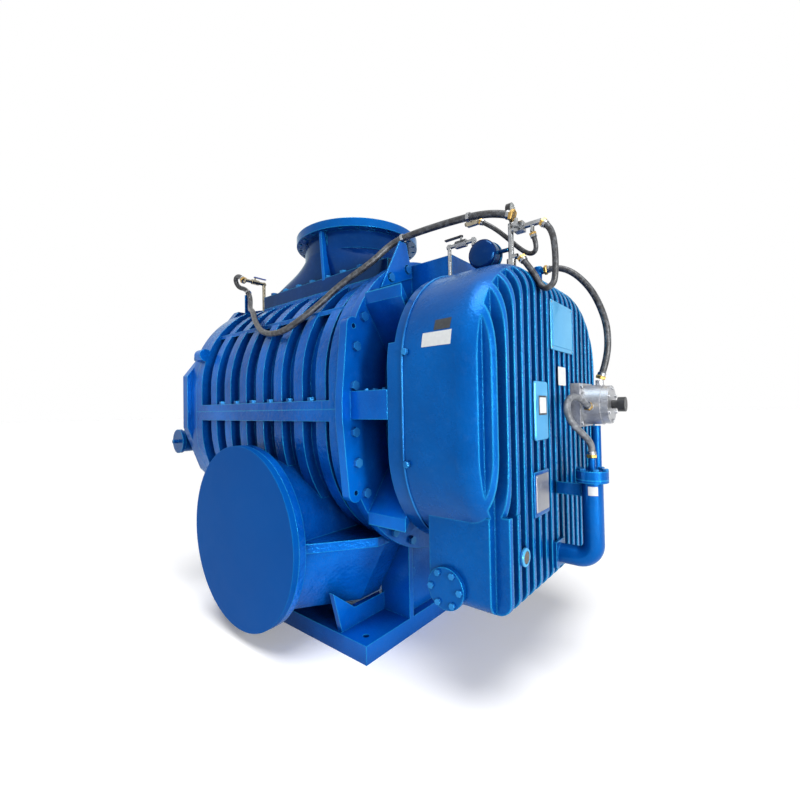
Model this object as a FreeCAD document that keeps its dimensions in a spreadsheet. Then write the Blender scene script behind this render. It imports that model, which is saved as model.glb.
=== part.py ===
import FreeCAD, Part
import Sketcher
import math
import os
from FreeCAD import Placement, Rotation, Vector

# Frame: millimetres, +Z up, +X along the rotors towards the timing gears, -Y towards the side outlet.
# The origin is on the floor, under the centre line of the inlet.

doc = FreeCAD.newDocument("roots_blower")
sheet = doc.addObject("Spreadsheet::Sheet", "Sizes")

# Driving sizes: alias, millimetres or degrees or a count, meaning.
SIZES = (
    ("axis_height", 1300, "floor to the rotor axes"),
    ("axis_spacing", 520, "between the two rotor axes"),
    ("running_gap", 1.0, "rotor to casing and rotor to rotor"),
    ("seat_gap", 0.3, "between a loose piece and its seat"),
    ("fit_gap", 0.05, "radial running fit on a shaft"),
    # bed and pedestals
    ("base_thickness", 97, "height of the bed"),
    ("base_back", 880, "inlet axis to the drive end of the bed"),
    ("base_front", 634, "inlet axis to the gear end of the bed"),
    ("base_half_width", 614, "half the width of the bed"),
    ("foot_hole", 17, "radius of the anchor bolt holes"),
    ("foot_inset", 72, "anchor bolt holes to the edges of the bed"),
    ("web_thickness", 34, "plate thickness of the pedestals"),
    ("web_out", 240, "pedestal webs, sideways from the middle"),
    ("web_length", 215, "length of a pedestal web along the bed"),
    ("outrigger_height", 110, "height of an outrigger over the bed at its tip"),
    ("outrigger_rise", 120, "extra height of an outrigger at the web"),
    ("plug_radius", 30, "hexagon plug in the pedestal, across corners / 2"),
    ("plug_length", 18, "length of the hexagon plug"),
    ("plug_y", 185, "middle to the hexagon plug"),
    ("plug_height", 332, "floor to the hexagon plug"),
    ("rigger_gap", 4, "outrigger below the outlet"),
    ("rigger_knee", 500, "middle to the end of an outrigger's level top"),
    ("rigger_tip", 655, "middle to an outrigger's top corner on the outlet's side"),
    ("rigger_tip_rise", 223, "bed to that corner"),
    # rotor casing
    ("casing_back", 910, "inlet axis to the drive end of the casing"),
    ("casing_front", 640, "inlet axis to the gear end of the casing"),
    ("casing_corner", 690, "radius of the casing's round shoulders"),
    ("shoulder_out", 64, "shoulder centres, sideways from the middle"),
    ("shoulder_up", 153, "upper shoulder centres above the axes"),
    ("shoulder_down", 110, "lower shoulder centres below the axes"),
    ("casing_rise", 756, "axes to the flat top of the casing"),
    ("casing_drop", 780, "axes to the flat bottom of the casing"),
    ("flange_back", 86, "thickness of the drive end flange"),
    ("flange_front", 102, "thickness of the gear end flange"),
    ("barrel_inset", 78, "depth of the bays between the ribs"),
    ("rib_inset", 20, "ribs below the flanges"),
    ("rib_width", 78, "thickness of a rib"),
    ("rib_pitch", 190, "rib to rib"),
    ("rib_count", 7, "ribs on the casing"),
    ("rib_last", 690, "inlet axis back to the last rib"),
    ("band_rise", 46, "split flange above the axes"),
    ("band_drop", 61, "split flange below the axes"),
    ("pad_half_width", 380, "half the width of the inlet pad"),
    ("pad_depth", 150, "height of the inlet pad"),
    ("pad_back", 616, "inlet axis to the back of the inlet pad"),
    ("pad_front", 620, "inlet axis to the front of the inlet pad"),
    ("stringer_up", 525, "axes to the stringer across the ribs"),
    ("stringer_height", 26, "thickness of the stringer"),
    ("stringer_half_width", 612, "middle of the casing to the stringer's edge"),
    ("port_half_length", 420, "half the length of the inlet port"),
    ("port_half_width", 250, "half the width of the inlet port"),
    ("chamber_half_length", 470, "half the length of the outlet chamber"),
    ("chamber_half_width", 330, "half the width of the outlet chamber"),
    ("chamber_drop", 630, "axes to the floor of the outlet chamber"),
    # outlet
    ("outlet_back", 75, "inlet axis back to the outlet centre"),
    ("outlet_reach", 871, "middle of the casing to the outlet face"),
    ("outlet_flange_radius", 512.5, "outlet flange radius"),
    ("outlet_flange_thickness", 42, "outlet flange thickness"),
    ("outlet_neck", 430, "outlet neck radius at the flange"),
    ("outlet_bore", 340, "outlet bore radius"),
    ("outlet_wall", 24, "wall of the outlet's hull"),
    ("outlet_root", 260, "middle of the casing to the wide end of the hull"),
    ("outlet_knee", 420, "middle of the casing to where the hull narrows"),
    ("outlet_half_top", 695, "half the width of the hull at its ledge"),
    ("outlet_half_low", 475, "half the width of the hull's bottom"),
    ("outlet_low", 200, "floor to the hull's bottom"),
    ("ledge_thickness", 48, "thickness of the hull's ledge"),
    ("ledge_knee", 500, "middle of the casing to where the ledge narrows"),
    ("ledge_half_end", 456, "half the width of the ledge at the flange"),
    ("blank_thickness", 34, "thickness of the outlet's blank plate"),
    # inlet
    ("hood_plate_thickness", 90, "foot plate of the inlet hood"),
    ("hood_half_length", 590, "half the hood's length over its foot plate"),
    ("hood_half_width", 320, "half the hood's width over its foot plate"),
    ("neck_radius", 372, "inlet neck outer radius"),
    ("inlet_bore", 350, "inlet bore radius"),
    ("inlet_flange_thickness", 53, "inlet flange thickness"),
    ("inlet_flange_radius", 430, "inlet flange radius"),
    ("inlet_bolt_circle", 405, "radius of the inlet bolt circle"),
    ("inlet_bolt_hole", 13, "radius of an inlet bolt hole"),
    ("inlet_bolt_count", 24, "bolt holes in the inlet flange"),
    ("gusset_thickness", 40, "gusset between hood and inlet flange"),
    ("gusset_x", 67, "inlet axis to the gussets"),
    # gear end
    ("end_plate_thickness", 50, "gear end plate"),
    ("distance_length", 235, "gear end plate to the gear case"),
    ("drum_inset", 260, "bearing drum below the plate's outline"),
    ("plate_rim", 18, "end plate's outline over the casing's shoulders"),
    ("side_rim_high", 403, "axes to the upper ears of the end plate"),
    ("side_rim_low", 405, "axes to the lower ears of the end plate"),
    ("side_rim_out", 805, "middle to the widest place of the end plate"),
    ("side_rim_half", 44, "half the height of that place"),
    ("ear_out", 722, "middle to the ears of the end plate"),
    ("ear_radius", 45, "radius of an ear"),
    ("ear_hole", 12, "radius of the hole in an ear"),
    ("box_half_width", 255, "half the width of the box over the drum"),
    ("shelf_rise", 85, "top of the side shelves above the axes"),
    ("shelf_drop", 50, "bottom of the side shelves below the axes"),
    ("shelf_half_width", 752, "middle to the edge of the side shelves"),
    ("shelf_bolt_out", 700, "middle to the bolts on the side shelves"),
    ("shelf_bolt_pitch", 60, "bolt to bolt on the side shelves"),
    ("wing_plate", 60, "plates between the end plate and the gear case"),
    ("wing_near", 440, "middle to the inner edge of the slanted plates"),
    ("wing_far", 640, "middle to the outer edge of the slanted plates"),
    ("seal_radius", 118, "radius of the seal bores"),
    ("bearing_radius", 150, "outer radius of the bearings"),
    ("bearing_width", 88, "width of the bearings"),
    ("bearing_lip", 12, "lip that keeps a bearing in its bore"),
    ("ring_thickness", 86, "gear case back wall"),
    ("case_step_depth", 36, "depth of the step in the back of the gear case"),
    ("case_half_width", 750, "half the width of the gear case"),
    ("case_corner", 485, "corner radius of the gear case"),
    ("cover_depth", 415, "depth of the gear cover"),
    ("cover_round", 150, "rounding of the cover's front edge"),
    ("cover_wall", 36, "wall of the gear cover"),
    ("fin_pitch", 75, "fin to fin"),
    ("fin_gap", 52, "groove between two fins"),
    ("fin_depth", 66, "depth of the grooves"),
    ("groove_count", 20, "grooves in the cover"),
    ("sump_half_width", 655, "half the width of the oil sump"),
    ("sump_back", 57, "cover joint to the back of the oil sump"),
    ("sump_round", 60, "rounding of the sump's edges"),
    # drive end
    ("drive_plate_thickness", 80, "drive end plate"),
    ("drive_cover_depth", 70, "depth of the drive end cover"),
    ("drive_cover_half_width", 782, "half the width of the drive end cover"),
    ("drive_cover_flat", 377, "half the top edge of the drive end cover"),
    ("drive_cover_knee", 120, "sides to the knees below them"),
    # drive end bearings, shafts, rotors, gears
    ("rotor_shaft", 100, "radius of a shaft inside its rotor"),
    ("seat_shaft", 85, "radius of a shaft at its bearings and seals"),
    ("gear_shaft", 80, "radius of a shaft under its gear"),
    ("nut_shaft", 58, "radius of a shaft beyond its gear"),
    ("input_shaft", 60, "radius of the driven end of the input shaft"),
    ("seal_seat", 65, "radius of the input shaft under its seal housing"),
    ("input_length", 300, "input shaft beyond the drive end cover"),
    ("pump_shaft", 18, "radius of the oil pump's stub"),
    ("inner_ring", 105, "outer radius of a bearing's inner ring"),
    ("outer_ring", 130, "inner radius of a bearing's outer ring"),
    ("roller_count", 14, "rollers in a bearing"),
    ("seal_width", 18, "width of a shaft seal ring"),
    ("bearing_depth", 60, "drive end bearing inside the drive end plate"),
    ("key_width", 28, "width of a key"),
    ("key_slot_length", 180, "length of the key slot in the input shaft"),
    ("key_rise", 8, "key above the shaft"),
    ("key_sink", 10, "key inside the shaft"),
    ("seal_housing_radius", 140, "outer radius of the input shaft's seal housing"),
    ("seal_housing_length", 46, "length of the seal housing"),
    ("gear_teeth", 36, "teeth on a timing gear"),
    ("gear_pressure", 20, "pressure angle of the gears, degrees"),
    ("gear_backlash", 1.2, "play between two teeth at the pitch circle"),
    ("gear_start", 1050, "inlet axis to the timing gears"),
    ("gear_width", 120, "width of the timing gears"),
    ("nut_length", 60, "length of a shaft beyond its gear"),
    # bolts
    ("bolt_head", 24, "radius of a bolt head, over its corners"),
    ("bolt_head_height", 19, "height of a bolt head"),
    ("bolt_shank", 13, "radius of a bolt"),
    ("bolt_gap", 0.5, "bolt hole clearance, radial"),
    ("bolt_sink", 60, "length of a bolt under its head"),
    ("plate_bolt_inset", 40, "end plate bolts below the plate's outline"),
    ("plate_bolt_first", 21, "first end plate bolt, degrees off the upright"),
    ("plate_bolt_step", 14, "end plate bolt to bolt, degrees"),
    ("plate_bolt_count", 5, "end plate bolts in a quarter"),
    ("side_bolt_out", 730, "middle to the end plate bolts beside the axes"),
    ("side_bolt_rise", 112, "axes to those bolts"),
    ("hood_bolt_first", 525, "inlet axis to the last hood bolt"),
    ("hood_bolt_pitch", 150, "hood bolt to hood bolt"),
    ("hood_bolt_count", 8, "hood bolts in a row"),
    ("hood_bolt_out", 351, "middle to the hood bolts"),
    ("split_bolt_out", 716, "middle to the bolts of the split flange"),
    ("cover_bolt_out", 330, "middle to the drive end cover's bolts, sideways"),
    ("cover_bolt_wide", 672, "middle to the bolts at the cover's sides"),
    ("hatch_bolt_count", 6, "bolts of the hatch and of the filter lid"),
    ("small_head", 14, "radius of a small bolt head, over its corners"),
    ("small_head_height", 10, "height of a small bolt head"),
    ("small_shank", 7, "radius of a small bolt"),
    ("small_sink", 16, "length of a small bolt under its head"),
    # hatch and sight glass on the sump
    ("hatch_x", 1161, "inlet axis to the hatch"),
    ("hatch_radius", 88, "hatch radius"),
    ("hatch_boss", 80, "radius of the boss behind the hatch"),
    ("hatch_thickness", 22, "hatch thickness"),
    ("hatch_bolts", 70, "radius of the hatch's bolt circle"),
    ("glass_radius", 25, "sight glass radius"),
    ("glass_length", 78, "length of the sight glass"),
    # oil cooler at the drive end
    ("cooler_x", 1200, "inlet axis back to the oil cooler"),
    ("cooler_radius", 82, "radius of the oil cooler"),
    ("cooler_near", 450, "middle to the near end of the oil cooler"),
    ("cooler_far", 740, "middle to the cap of the oil cooler"),
    ("cooler_cap", 90, "radius of the oil cooler's cap"),
    ("cooler_cap_length", 25, "thickness of the oil cooler's cap"),
    ("cooler_neck", 45, "radius of the oil cooler's neck"),
    ("cooler_neck_y", 560, "middle to the oil cooler's neck"),
    ("cooler_nipple", 14, "radius of the oil cooler's nipple"),
    ("cooler_nipple_length", 36, "length of the oil cooler's nipple"),
    # oil pump
    ("pump_pad", 115, "half the side of the pump's square adapter"),
    ("adapter_length", 50, "length of the pump's adapter"),
    ("pump_radius", 105, "radius of the pump body"),
    ("pump_length", 90, "length of the pump body"),
    ("pump_cover_radius", 100, "radius of the pump's end cover"),
    ("pump_cover_length", 37, "length of the pump's end cover"),
    ("pump_rotor", 70, "radius of the pump's rotor"),
    ("pump_port", 20, "radius of the pump's ports"),
    ("pump_port_length", 28, "length of the pump's side port"),
    ("pump_port_drop", 10, "axes down to the pump's side port"),
    ("top_port_length", 39, "length of the pump's top port"),
    ("top_port_shift", 24, "middle of the pump to its top port"),
    ("knob_radius", 38, "radius of the relief knob"),
    ("knob_length", 65, "length of the relief knob"),
    ("knob_neck", 22, "radius of the relief knob's neck"),
    ("knob_neck_length", 30, "length of the relief knob's neck"),
    ("spindle", 12, "radius of the relief knob's spindle"),
    ("spindle_length", 44, "length of the relief knob's spindle"),
    ("riser_radius", 24, "radius of the pump's suction pipe"),
    ("riser_flange", 44, "radius of the suction pipe's flange"),
    ("flange_plate", 14, "thickness of the small flanges on the cover"),
    ("delivery_x", 1227, "inlet axis to the delivery elbow on the gear case"),
    ("delivery_radius", 22, "radius of the delivery elbow"),
    ("delivery_over", 26, "top of the delivery elbow over its outlet"),
    # oil filter
    ("filter_x", 1590, "inlet axis to the oil filter"),
    ("filter_y", 90, "middle to the oil filter, sideways"),
    ("filter_radius", 46, "radius of the filter bowl"),
    ("filter_bend", 70, "bend radius under the filter bowl"),
    ("filter_flange", 60, "half the side of the filter's flange"),
    ("lid_radius", 70, "radius of the filter lid"),
    ("lid_thickness", 40, "thickness of the filter lid"),
    ("lid_fitting", 16, "radius of the fitting on the filter lid"),
    ("bracket_plate", 10, "thickness of the brackets"),
    # oil breather and drain valve on the gear case
    ("breather_x", 1162, "inlet axis to the oil breather"),
    ("breather_front", 300, "middle to the face of the oil breather"),
    ("breather_length", 75, "length of the oil breather"),
    ("breather_radius", 72, "radius of the oil breather"),
    ("breather_back", 50, "radius of the plate behind the oil breather"),
    ("breather_neck", 22, "radius of the oil breather's neck"),
    ("vent_pipe", 10, "radius of the small pipes"),
    ("pipe_over", 13, "small pipes past their crossings"),
    ("drain_x", 970, "inlet axis to the drain pipe"),
    ("drain_y", 290, "middle to the drain pipe"),
    ("drain_end", 1112, "inlet axis to the end of the drain pipe"),
    # valves
    ("valve_radius", 20, "radius of a valve body, over its corners"),
    ("valve_length", 62, "length of a valve body"),
    ("stem_radius", 6, "radius of a valve stem"),
    ("stem_length", 16, "length of a valve stem under its lever"),
    ("stem_tip", 8, "valve stem inside its lever"),
    ("lever_length", 95, "length of a valve lever"),
    ("lever_width", 18, "width of a valve lever"),
    ("lever_thickness", 7, "thickness of a valve lever"),
    ("lever_hub", 11, "radius of a valve lever's hub"),
    ("top_valve_x", 1096, "inlet axis to the top valve"),
    ("top_valve_y", 262, "middle to the top valve"),
    ("tab_radius", 5, "radius of the tab between the top valve and its clip"),
    ("tab_length", 35, "length of that tab"),
    ("back_valve_x", 850, "inlet axis back to the back valve"),
    ("back_valve_y", 310, "middle to the back valve"),
    ("back_riser_y", 232, "middle to the back valve's riser"),
    ("back_turn_y", 385, "middle to the back valve's elbow"),
    ("back_stub", 34, "length of the back valve's stub"),
    ("nipple_length", 25, "nipple of the top valve"),
    # manifold and gauge on top of the gear case
    ("manifold_x", 1300, "inlet axis to the manifold post"),
    ("manifold_y", 265, "middle to the manifold post"),
    ("manifold_pipe", 13, "radius of the manifold pipes"),
    ("manifold_foot", 22, "radius of the manifold's foot, over its corners"),
    ("manifold_foot_height", 34, "height of the manifold's foot"),
    ("manifold_reach", 1447, "inlet axis to the end of the manifold arm"),
    ("cross_x", 1345, "inlet axis to the cross on the arm"),
    ("cross_half", 22, "half the side of the cross"),
    ("branch_length", 44, "length of the cross's branch"),
    ("branch_rise", 40, "height of the branch's end pipe"),
    ("side_port_length", 33, "length of the manifold's side port"),
    ("under_port_length", 37, "length of the port under the arm"),
    ("under_port_x", 1405, "inlet axis to the port under the arm"),
    ("gauge_radius", 32, "radius of the gauge"),
    ("gauge_depth", 24, "depth of the gauge"),
    ("gauge_rim", 3, "rim of the gauge"),
    ("dial_depth", 8, "depth of the dial under the rim"),
    ("pointer_thickness", 1.5, "thickness of the pointer"),
    ("pointer_length", 22, "length of the pointer"),
    ("pointer_pin", 2, "radius of the pointer's pin"),
    ("pointer_hub", 4.5, "radius of the pointer's hub"),
    ("gauge_glass", 2, "thickness of the gauge's glass"),
    # hoses and clips
    ("ferrule_length", 1, "ferrule length in hose diameters"),
    ("ferrule_wall", 4, "ferrule over the hose"),
    ("clip_wall", 5, "thickness of a hose clip"),
    ("clip_width", 16, "width of a hose clip"),
    ("bracket_half_width", 28, "half the width of a hose bracket"),
    ("bracket_foot_out", 530, "middle to the outer foot of the front bracket"),
    ("bracket_foot_in", 259, "middle to the inner foot of the front bracket"),
    ("head_clearance", 2, "front bracket to the bolt heads in it"),
)

# Heights: alias, millimetres above the rotor axes, below them when negative, meaning.
HEIGHTS = (
    ("outlet_height", -710, "the outlet centre"),
    ("hood_taper_top", 1030, "the top of the hood's taper"),
    ("neck_top", 1144, "the underside of the inlet flange"),
    ("wing_far_low", -543, "the lower plates at their outer edge"),
    ("wing_near_low", -280, "the lower plates at the drum"),
    ("wing_far_high", 553, "the upper plates at their outer edge"),
    ("wing_near_high", 270, "the upper plates at the drum"),
    ("box_low", 656, "the bottom of the box over the drum"),
    ("box_top", 812, "the top of that box"),
    ("case_top", 665, "the top of the gear case"),
    ("case_bottom", -664, "the bottom of the gear case's round part"),
    ("sump_top", -440, "the top of the oil sump"),
    ("sump_bottom", -830, "the bottom of the oil sump"),
    ("drive_cover_top", 800, "the top of the drive end cover"),
    ("drive_cover_low", -740, "the bottom of the drive end cover"),
    ("drive_cover_side_high", 261, "the top of its upright sides"),
    ("drive_cover_side_low", -117, "the bottom of its upright sides"),
    ("hatch_height", -754, "the hatch centre"),
    ("glass_height", -620, "the sight glass"),
    ("cooler_height", -223, "the oil cooler"),
    ("riser_foot", -410, "the elbow of the suction pipe"),
    ("filter_top", -340, "the top of the filter bowl"),
    ("filter_foot", -753, "the bottom of the filter's bend"),
    ("lid_fitting_top", -245, "the top of the fitting on the filter lid"),
    ("bracket_low", -425, "the bottom of the filter bracket"),
    ("bracket_high", -367, "the top of the filter bracket"),
    ("back_valve_height", 1025, "the back valve"),
    ("front_bracket_low", 630, "the outer foot of the front hose bracket"),
    ("front_bracket_high", 740, "the inner foot of the front hose bracket"),
    ("back_bracket_low", 757, "the foot of the back hose bracket"),
    ("case_step", 290, "the step in the back of the gear case"),
)

# Heights on the gear case: alias, millimetres above its top, meaning.
ON_CASE = (
    ("breather_height", 85, "the oil breather"),
    ("drain_height", 170, "the drain valve"),
    ("top_valve_height", 275, "the top valve"),
    ("manifold_top", 205, "the top of the manifold post"),
    ("manifold_arm", 175, "the manifold arm"),
    ("side_port_height", 43, "the manifold's side port"),
    ("gauge_height", 271, "the gauge centre"),
)

# Hose routes: node, outer diameter, then the points from fitting to fitting, heights above the axes.
ROUTES = (
    ("drive_end_oil_hose", 36, (
        (1338, -310, 882), (1262, -312, 916), (1170, -318, 938), (1040, -322, 950),
        (770, -328, 956), (624, -352, 932), (550, -435, 820), (375, -520, 710),
        (290, -595, 602), (207, -675, 510), (85, -712, 448), (-130, -695, 468),
        (-345, -620, 585), (-500, -545, 705), (-738, -425, 760), (-860, -345, 905),
        (-946, -335, 985), (-1015, -362, 1005), (-1022, -388, 1070), (-950, -390, 1085),
        (-885, -385, 1028))),
    ("manifold_hose", 28, (
        (1451, -265, 837), (1495, -265, 790), (1508, -265, 690), (1506, -265, 585),
        (1496, -265, 540), (1450, -265, 524), (1412, -265, 605), (1348, -265, 700))),
    ("top_valve_hose", 22, (
        (1136, -262, 934), (1200, -250, 890), (1268, -226, 820), (1330, -218, 750),
        (1388, -234, 708), (1424, -256, 725), (1406, -265, 798))),
    ("pump_delivery_hose", 34, (
        (1548, 260, 137), (1575, 260, 210), (1594, 260, 320), (1583, 260, 460),
        (1510, 260, 645), (1375, 260, 784), (1264, 260, 784))),
    ("filter_hose", 30, (
        (1521, 134, -10), (1519, 0, 32), (1515, -120, 45), (1514, -195, 0),
        (1530, -205, -70), (1570, -140, -135), (1592, -92, -180), (1590, -90, -244))),
)


class Term:
    """A length that knows its number and the sum of cells that gives it."""

    def __init__(self, value, text):
        self.value = float(value)
        self.text = text

    def __add__(self, other):
        other = term(other)
        return Term(self.value + other.value, f"({self.text} + {other.text})")

    def __sub__(self, other):
        other = term(other)
        return Term(self.value - other.value, f"({self.text} - {other.text})")

    def __mul__(self, other):
        other = term(other)
        return Term(self.value * other.value, f"({self.text} * {other.text})")

    def __truediv__(self, other):
        other = term(other)
        return Term(self.value / other.value, f"({self.text} / {other.text})")

    def __neg__(self):
        return Term(-self.value, f"(0 - {self.text})")


def term(number):
    return number if isinstance(number, Term) else Term(number, repr(number))


class Cells:
    """The cells of the sheet, each by its alias."""


d = Cells()
rows = [*SIZES, *HEIGHTS, *ON_CASE]
for label, diameter, points in ROUTES:
    rows.append((f"{label}_diameter", diameter, f"{label}, outer diameter"))
    for number, point in enumerate(points):
        for axis, place in zip("xyz", point):
            rows.append((f"{label}_{axis}{number}", place, f"{label}, point {number}, {axis}"))
for row, (alias, number, meaning) in enumerate(rows, start=1):
    sheet.set(f"A{row}", meaning)
    sheet.set(f"B{row}", str(number))
    sheet.setAlias(f"B{row}", alias)
doc.recompute()


def cell(alias):
    """The number in a cell, as a sum that follows it."""
    return Term(sheet.get(alias), f"Sizes.{alias}")


for alias, number, meaning in SIZES:
    setattr(d, alias, cell(alias))
for alias, number, meaning in HEIGHTS:
    setattr(d, alias, d.axis_height + cell(alias))
for alias, number, meaning in ON_CASE:
    setattr(d, alias, d.case_top + cell(alias))

ZERO = term(0)
PARTS = []

# Places that several pieces share
joint_back = -d.casing_back
joint_front = d.casing_front
casing_top = d.axis_height + d.casing_rise
casing_bottom = d.axis_height - d.casing_drop
upper_centre = d.axis_height + d.shoulder_up
lower_centre = d.axis_height - d.shoulder_down
case_back = joint_front + d.end_plate_thickness + d.distance_length
cover_joint = case_back + d.ring_thickness
cover_face = cover_joint + d.cover_depth
drive_face = joint_back - d.drive_plate_thickness - d.drive_cover_depth

delivery_end = 6  # the last point of the pump's delivery hose


def route_place(label, number):
    """A point of a hose route, as three sums of cells."""
    x, y, z = [cell(f"{label}_{axis}{number}") for axis in "xyz"]
    return x, y, d.axis_height + z


# Sketches and features

NORMAL = {"XY_Plane": 1, "YZ_Plane": 1, "XZ_Plane": -1}


def bind(thing, **sums):
    """Ties properties of an object to sums of cells."""
    for name, length in sums.items():
        thing.setExpression(name, term(length).text)


def new_body(label):
    body = doc.addObject("PartDesign::Body", label)
    body.Label = label
    PARTS.append(body)
    return body


def origin_part(body, role):
    return [f for f in body.Origin.OriginFeatures if f.Role == role][0]


def new_sketch(body, name, role, at=ZERO):
    """A sketch across one axis of the body, at a place along that axis."""
    sketch = body.newObject("Sketcher::SketchObject", name)
    sketch.AttachmentSupport = [(origin_part(body, role), "")]
    sketch.MapMode = "FlatFace"
    offset = term(at) if NORMAL[role] > 0 else -term(at)
    sketch.AttachmentOffset = Placement(Vector(0, 0, offset.value), Rotation())
    sketch.setExpression("AttachmentOffset.Base.z", offset.text)
    sketch.addProperty("App::PropertyString", "Across")
    sketch.Across = role
    return sketch


def bound(sketch, kind, *args):
    """Adds a constraint whose last argument is a sum of cells."""
    *where, length = args
    length = term(length)
    index = sketch.addConstraint(Sketcher.Constraint(kind, *where, length.value))
    sketch.setExpression(f"Constraints[{index}]", length.text)


def pin(sketch, geometry, point, x, y):
    """Fixes a point of a sketch from the sketch's origin."""
    for kind, axis, length in (("DistanceX", -2, term(x)), ("DistanceY", -1, term(y))):
        if length.value == 0:
            sketch.addConstraint(Sketcher.Constraint("PointOnObject", geometry, point, axis))
        else:
            bound(sketch, kind, -1, 1, geometry, point, length)


def spot(x, y):
    return Vector(term(x).value, term(y).value, 0)


def join(sketch, first, first_point, second, second_point):
    sketch.addConstraint(Sketcher.Constraint("Coincident", first, first_point, second, second_point))


def polygon(sketch, corners):
    """A closed outline of straight sides, every corner tied to the sheet."""
    lines = []
    for i, corner in enumerate(corners):
        after = corners[(i + 1) % len(corners)]
        lines.append(sketch.addGeometry(Part.LineSegment(spot(*corner), spot(*after)), False))
    for i, line in enumerate(lines):
        join(sketch, line, 2, lines[(i + 1) % len(lines)], 1)
        pin(sketch, line, 1, *corners[i])


def rectangle(sketch, low_x, low_y, high_x, high_y):
    polygon(sketch, [(low_x, low_y), (high_x, low_y), (high_x, high_y), (low_x, high_y)])


def circle(sketch, x, y, radius):
    ring = sketch.addGeometry(Part.Circle(spot(x, y), Vector(0, 0, 1), term(radius).value), False)
    bound(sketch, "Radius", ring, radius)
    pin(sketch, ring, 3, x, y)


def round_places(x, y, radius, count, begin=0):
    """Places at equal steps on a circle, the first one at an angle in degrees."""
    places = []
    for step in range(count):
        lean = math.radians(begin) + 2 * math.pi * step / count
        places.append((x + radius * round(math.cos(lean), 6), y + radius * round(math.sin(lean), 6)))
    return places


def extrude(kind, body, sketch, length, along=1, **sums):
    """A pad or a pocket that runs along (1) or against (-1) the body's own axis."""
    feature = body.newObject(f"PartDesign::{kind}", f"{sketch.Name}_{kind.lower()}")
    feature.Profile = sketch
    with_normal = NORMAL[sketch.Across] * along > 0
    feature.Reversed = with_normal if kind == "Pocket" else not with_normal
    bind(feature, Length=length, **sums)
    sketch.Visibility = False
    return feature


def pad(body, sketch, length, along=1, **sums):
    return extrude("Pad", body, sketch, length, along, **sums)


def pocket(body, sketch, length, along=1):
    """A cut that has to take material away."""
    doc.recompute()
    before = body.Shape.Volume
    feature = extrude("Pocket", body, sketch, length, along)
    doc.recompute()
    if body.Shape.Volume > before - 1:
        raise ValueError(f"{feature.Name} cuts nothing")
    return feature


def repeat(body, feature, axis_role, span, count):
    """A row of copies of one feature."""
    pattern = body.newObject("PartDesign::LinearPattern", f"{feature.Name}_row")
    pattern.Originals = [feature]
    pattern.Direction = (origin_part(body, axis_role), [""])
    bind(pattern, Length=span, Occurrences=count)
    body.Tip = pattern
    return pattern


def turn(body, feature, axis_role, count):
    """Copies of one feature round an axis of the body."""
    pattern = body.newObject("PartDesign::PolarPattern", f"{feature.Name}_circle")
    pattern.Originals = [feature]
    pattern.Axis = (origin_part(body, axis_role), [""])
    pattern.Angle = 360
    bind(pattern, Occurrences=count)
    body.Tip = pattern
    return pattern


def block(body, name, low, high):
    """A plain pad between two corners."""
    sketch = new_sketch(body, name, "XY_Plane", low[2])
    rectangle(sketch, low[0], low[1], high[0], high[1])
    return pad(body, sketch, high[2] - low[2])


# Outlines

def shoulder(sketch, side, centre, radius, begin_z, flat_z):
    """One round shoulder with its upright side; gives both lines' free ends."""
    up = 1 if flat_z.value > centre[1].value else -1
    swing = math.asin(abs(flat_z.value - centre[1].value) / radius.value)
    middle = spot(centre[0] * side, centre[1])
    if side > 0:
        begin, end = (0, swing) if up > 0 else (-swing, 0)
    else:
        begin, end = (math.pi - swing, math.pi) if up > 0 else (math.pi, math.pi + swing)
    ring = Part.Circle(middle, Vector(0, 0, 1), radius.value)
    arc = sketch.addGeometry(Part.ArcOfCircle(ring, begin, end), False)
    edge = middle.x + side * radius.value
    line = sketch.addGeometry(
        Part.LineSegment(Vector(edge, begin_z.value, 0), Vector(edge, centre[1].value, 0)), False)
    side_end = 1 if side * up > 0 else 2
    join(sketch, line, 2, arc, side_end)
    sketch.addConstraint(Sketcher.Constraint("Vertical", line))
    bound(sketch, "Radius", arc, radius)
    pin(sketch, arc, 3, centre[0] * side, centre[1])
    bound(sketch, "DistanceY", -1, 1, line, 2, centre[1])
    bound(sketch, "DistanceY", -1, 1, line, 1, begin_z)
    return line, arc, 3 - side_end


def across(sketch, right, left):
    """A level line between an end on the right and an end on the left."""
    ends = []
    for geometry, point in (right, left):
        ends.append(sketch.getPoint(geometry, point))
    line = sketch.addGeometry(Part.LineSegment(*ends), False)
    for point, (geometry, end) in enumerate((right, left), start=1):
        join(sketch, line, point, geometry, end)
    return line


def arch(sketch, inset, centre_z, base_z, flat_z):
    """Half of the casing's outline: upright sides, round shoulders and a flat."""
    radius = d.casing_corner - inset
    ends = {}
    for side in (1, -1):
        ends[side] = shoulder(sketch, side, (d.shoulder_out, centre_z), radius, base_z, flat_z)
        bound(sketch, "DistanceY", -1, 1, ends[side][1], ends[side][2], flat_z)
    across(sketch, (ends[1][0], 1), (ends[-1][0], 1))
    across(sketch, (ends[1][1], ends[1][2]), (ends[-1][1], ends[-1][2]))


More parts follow.
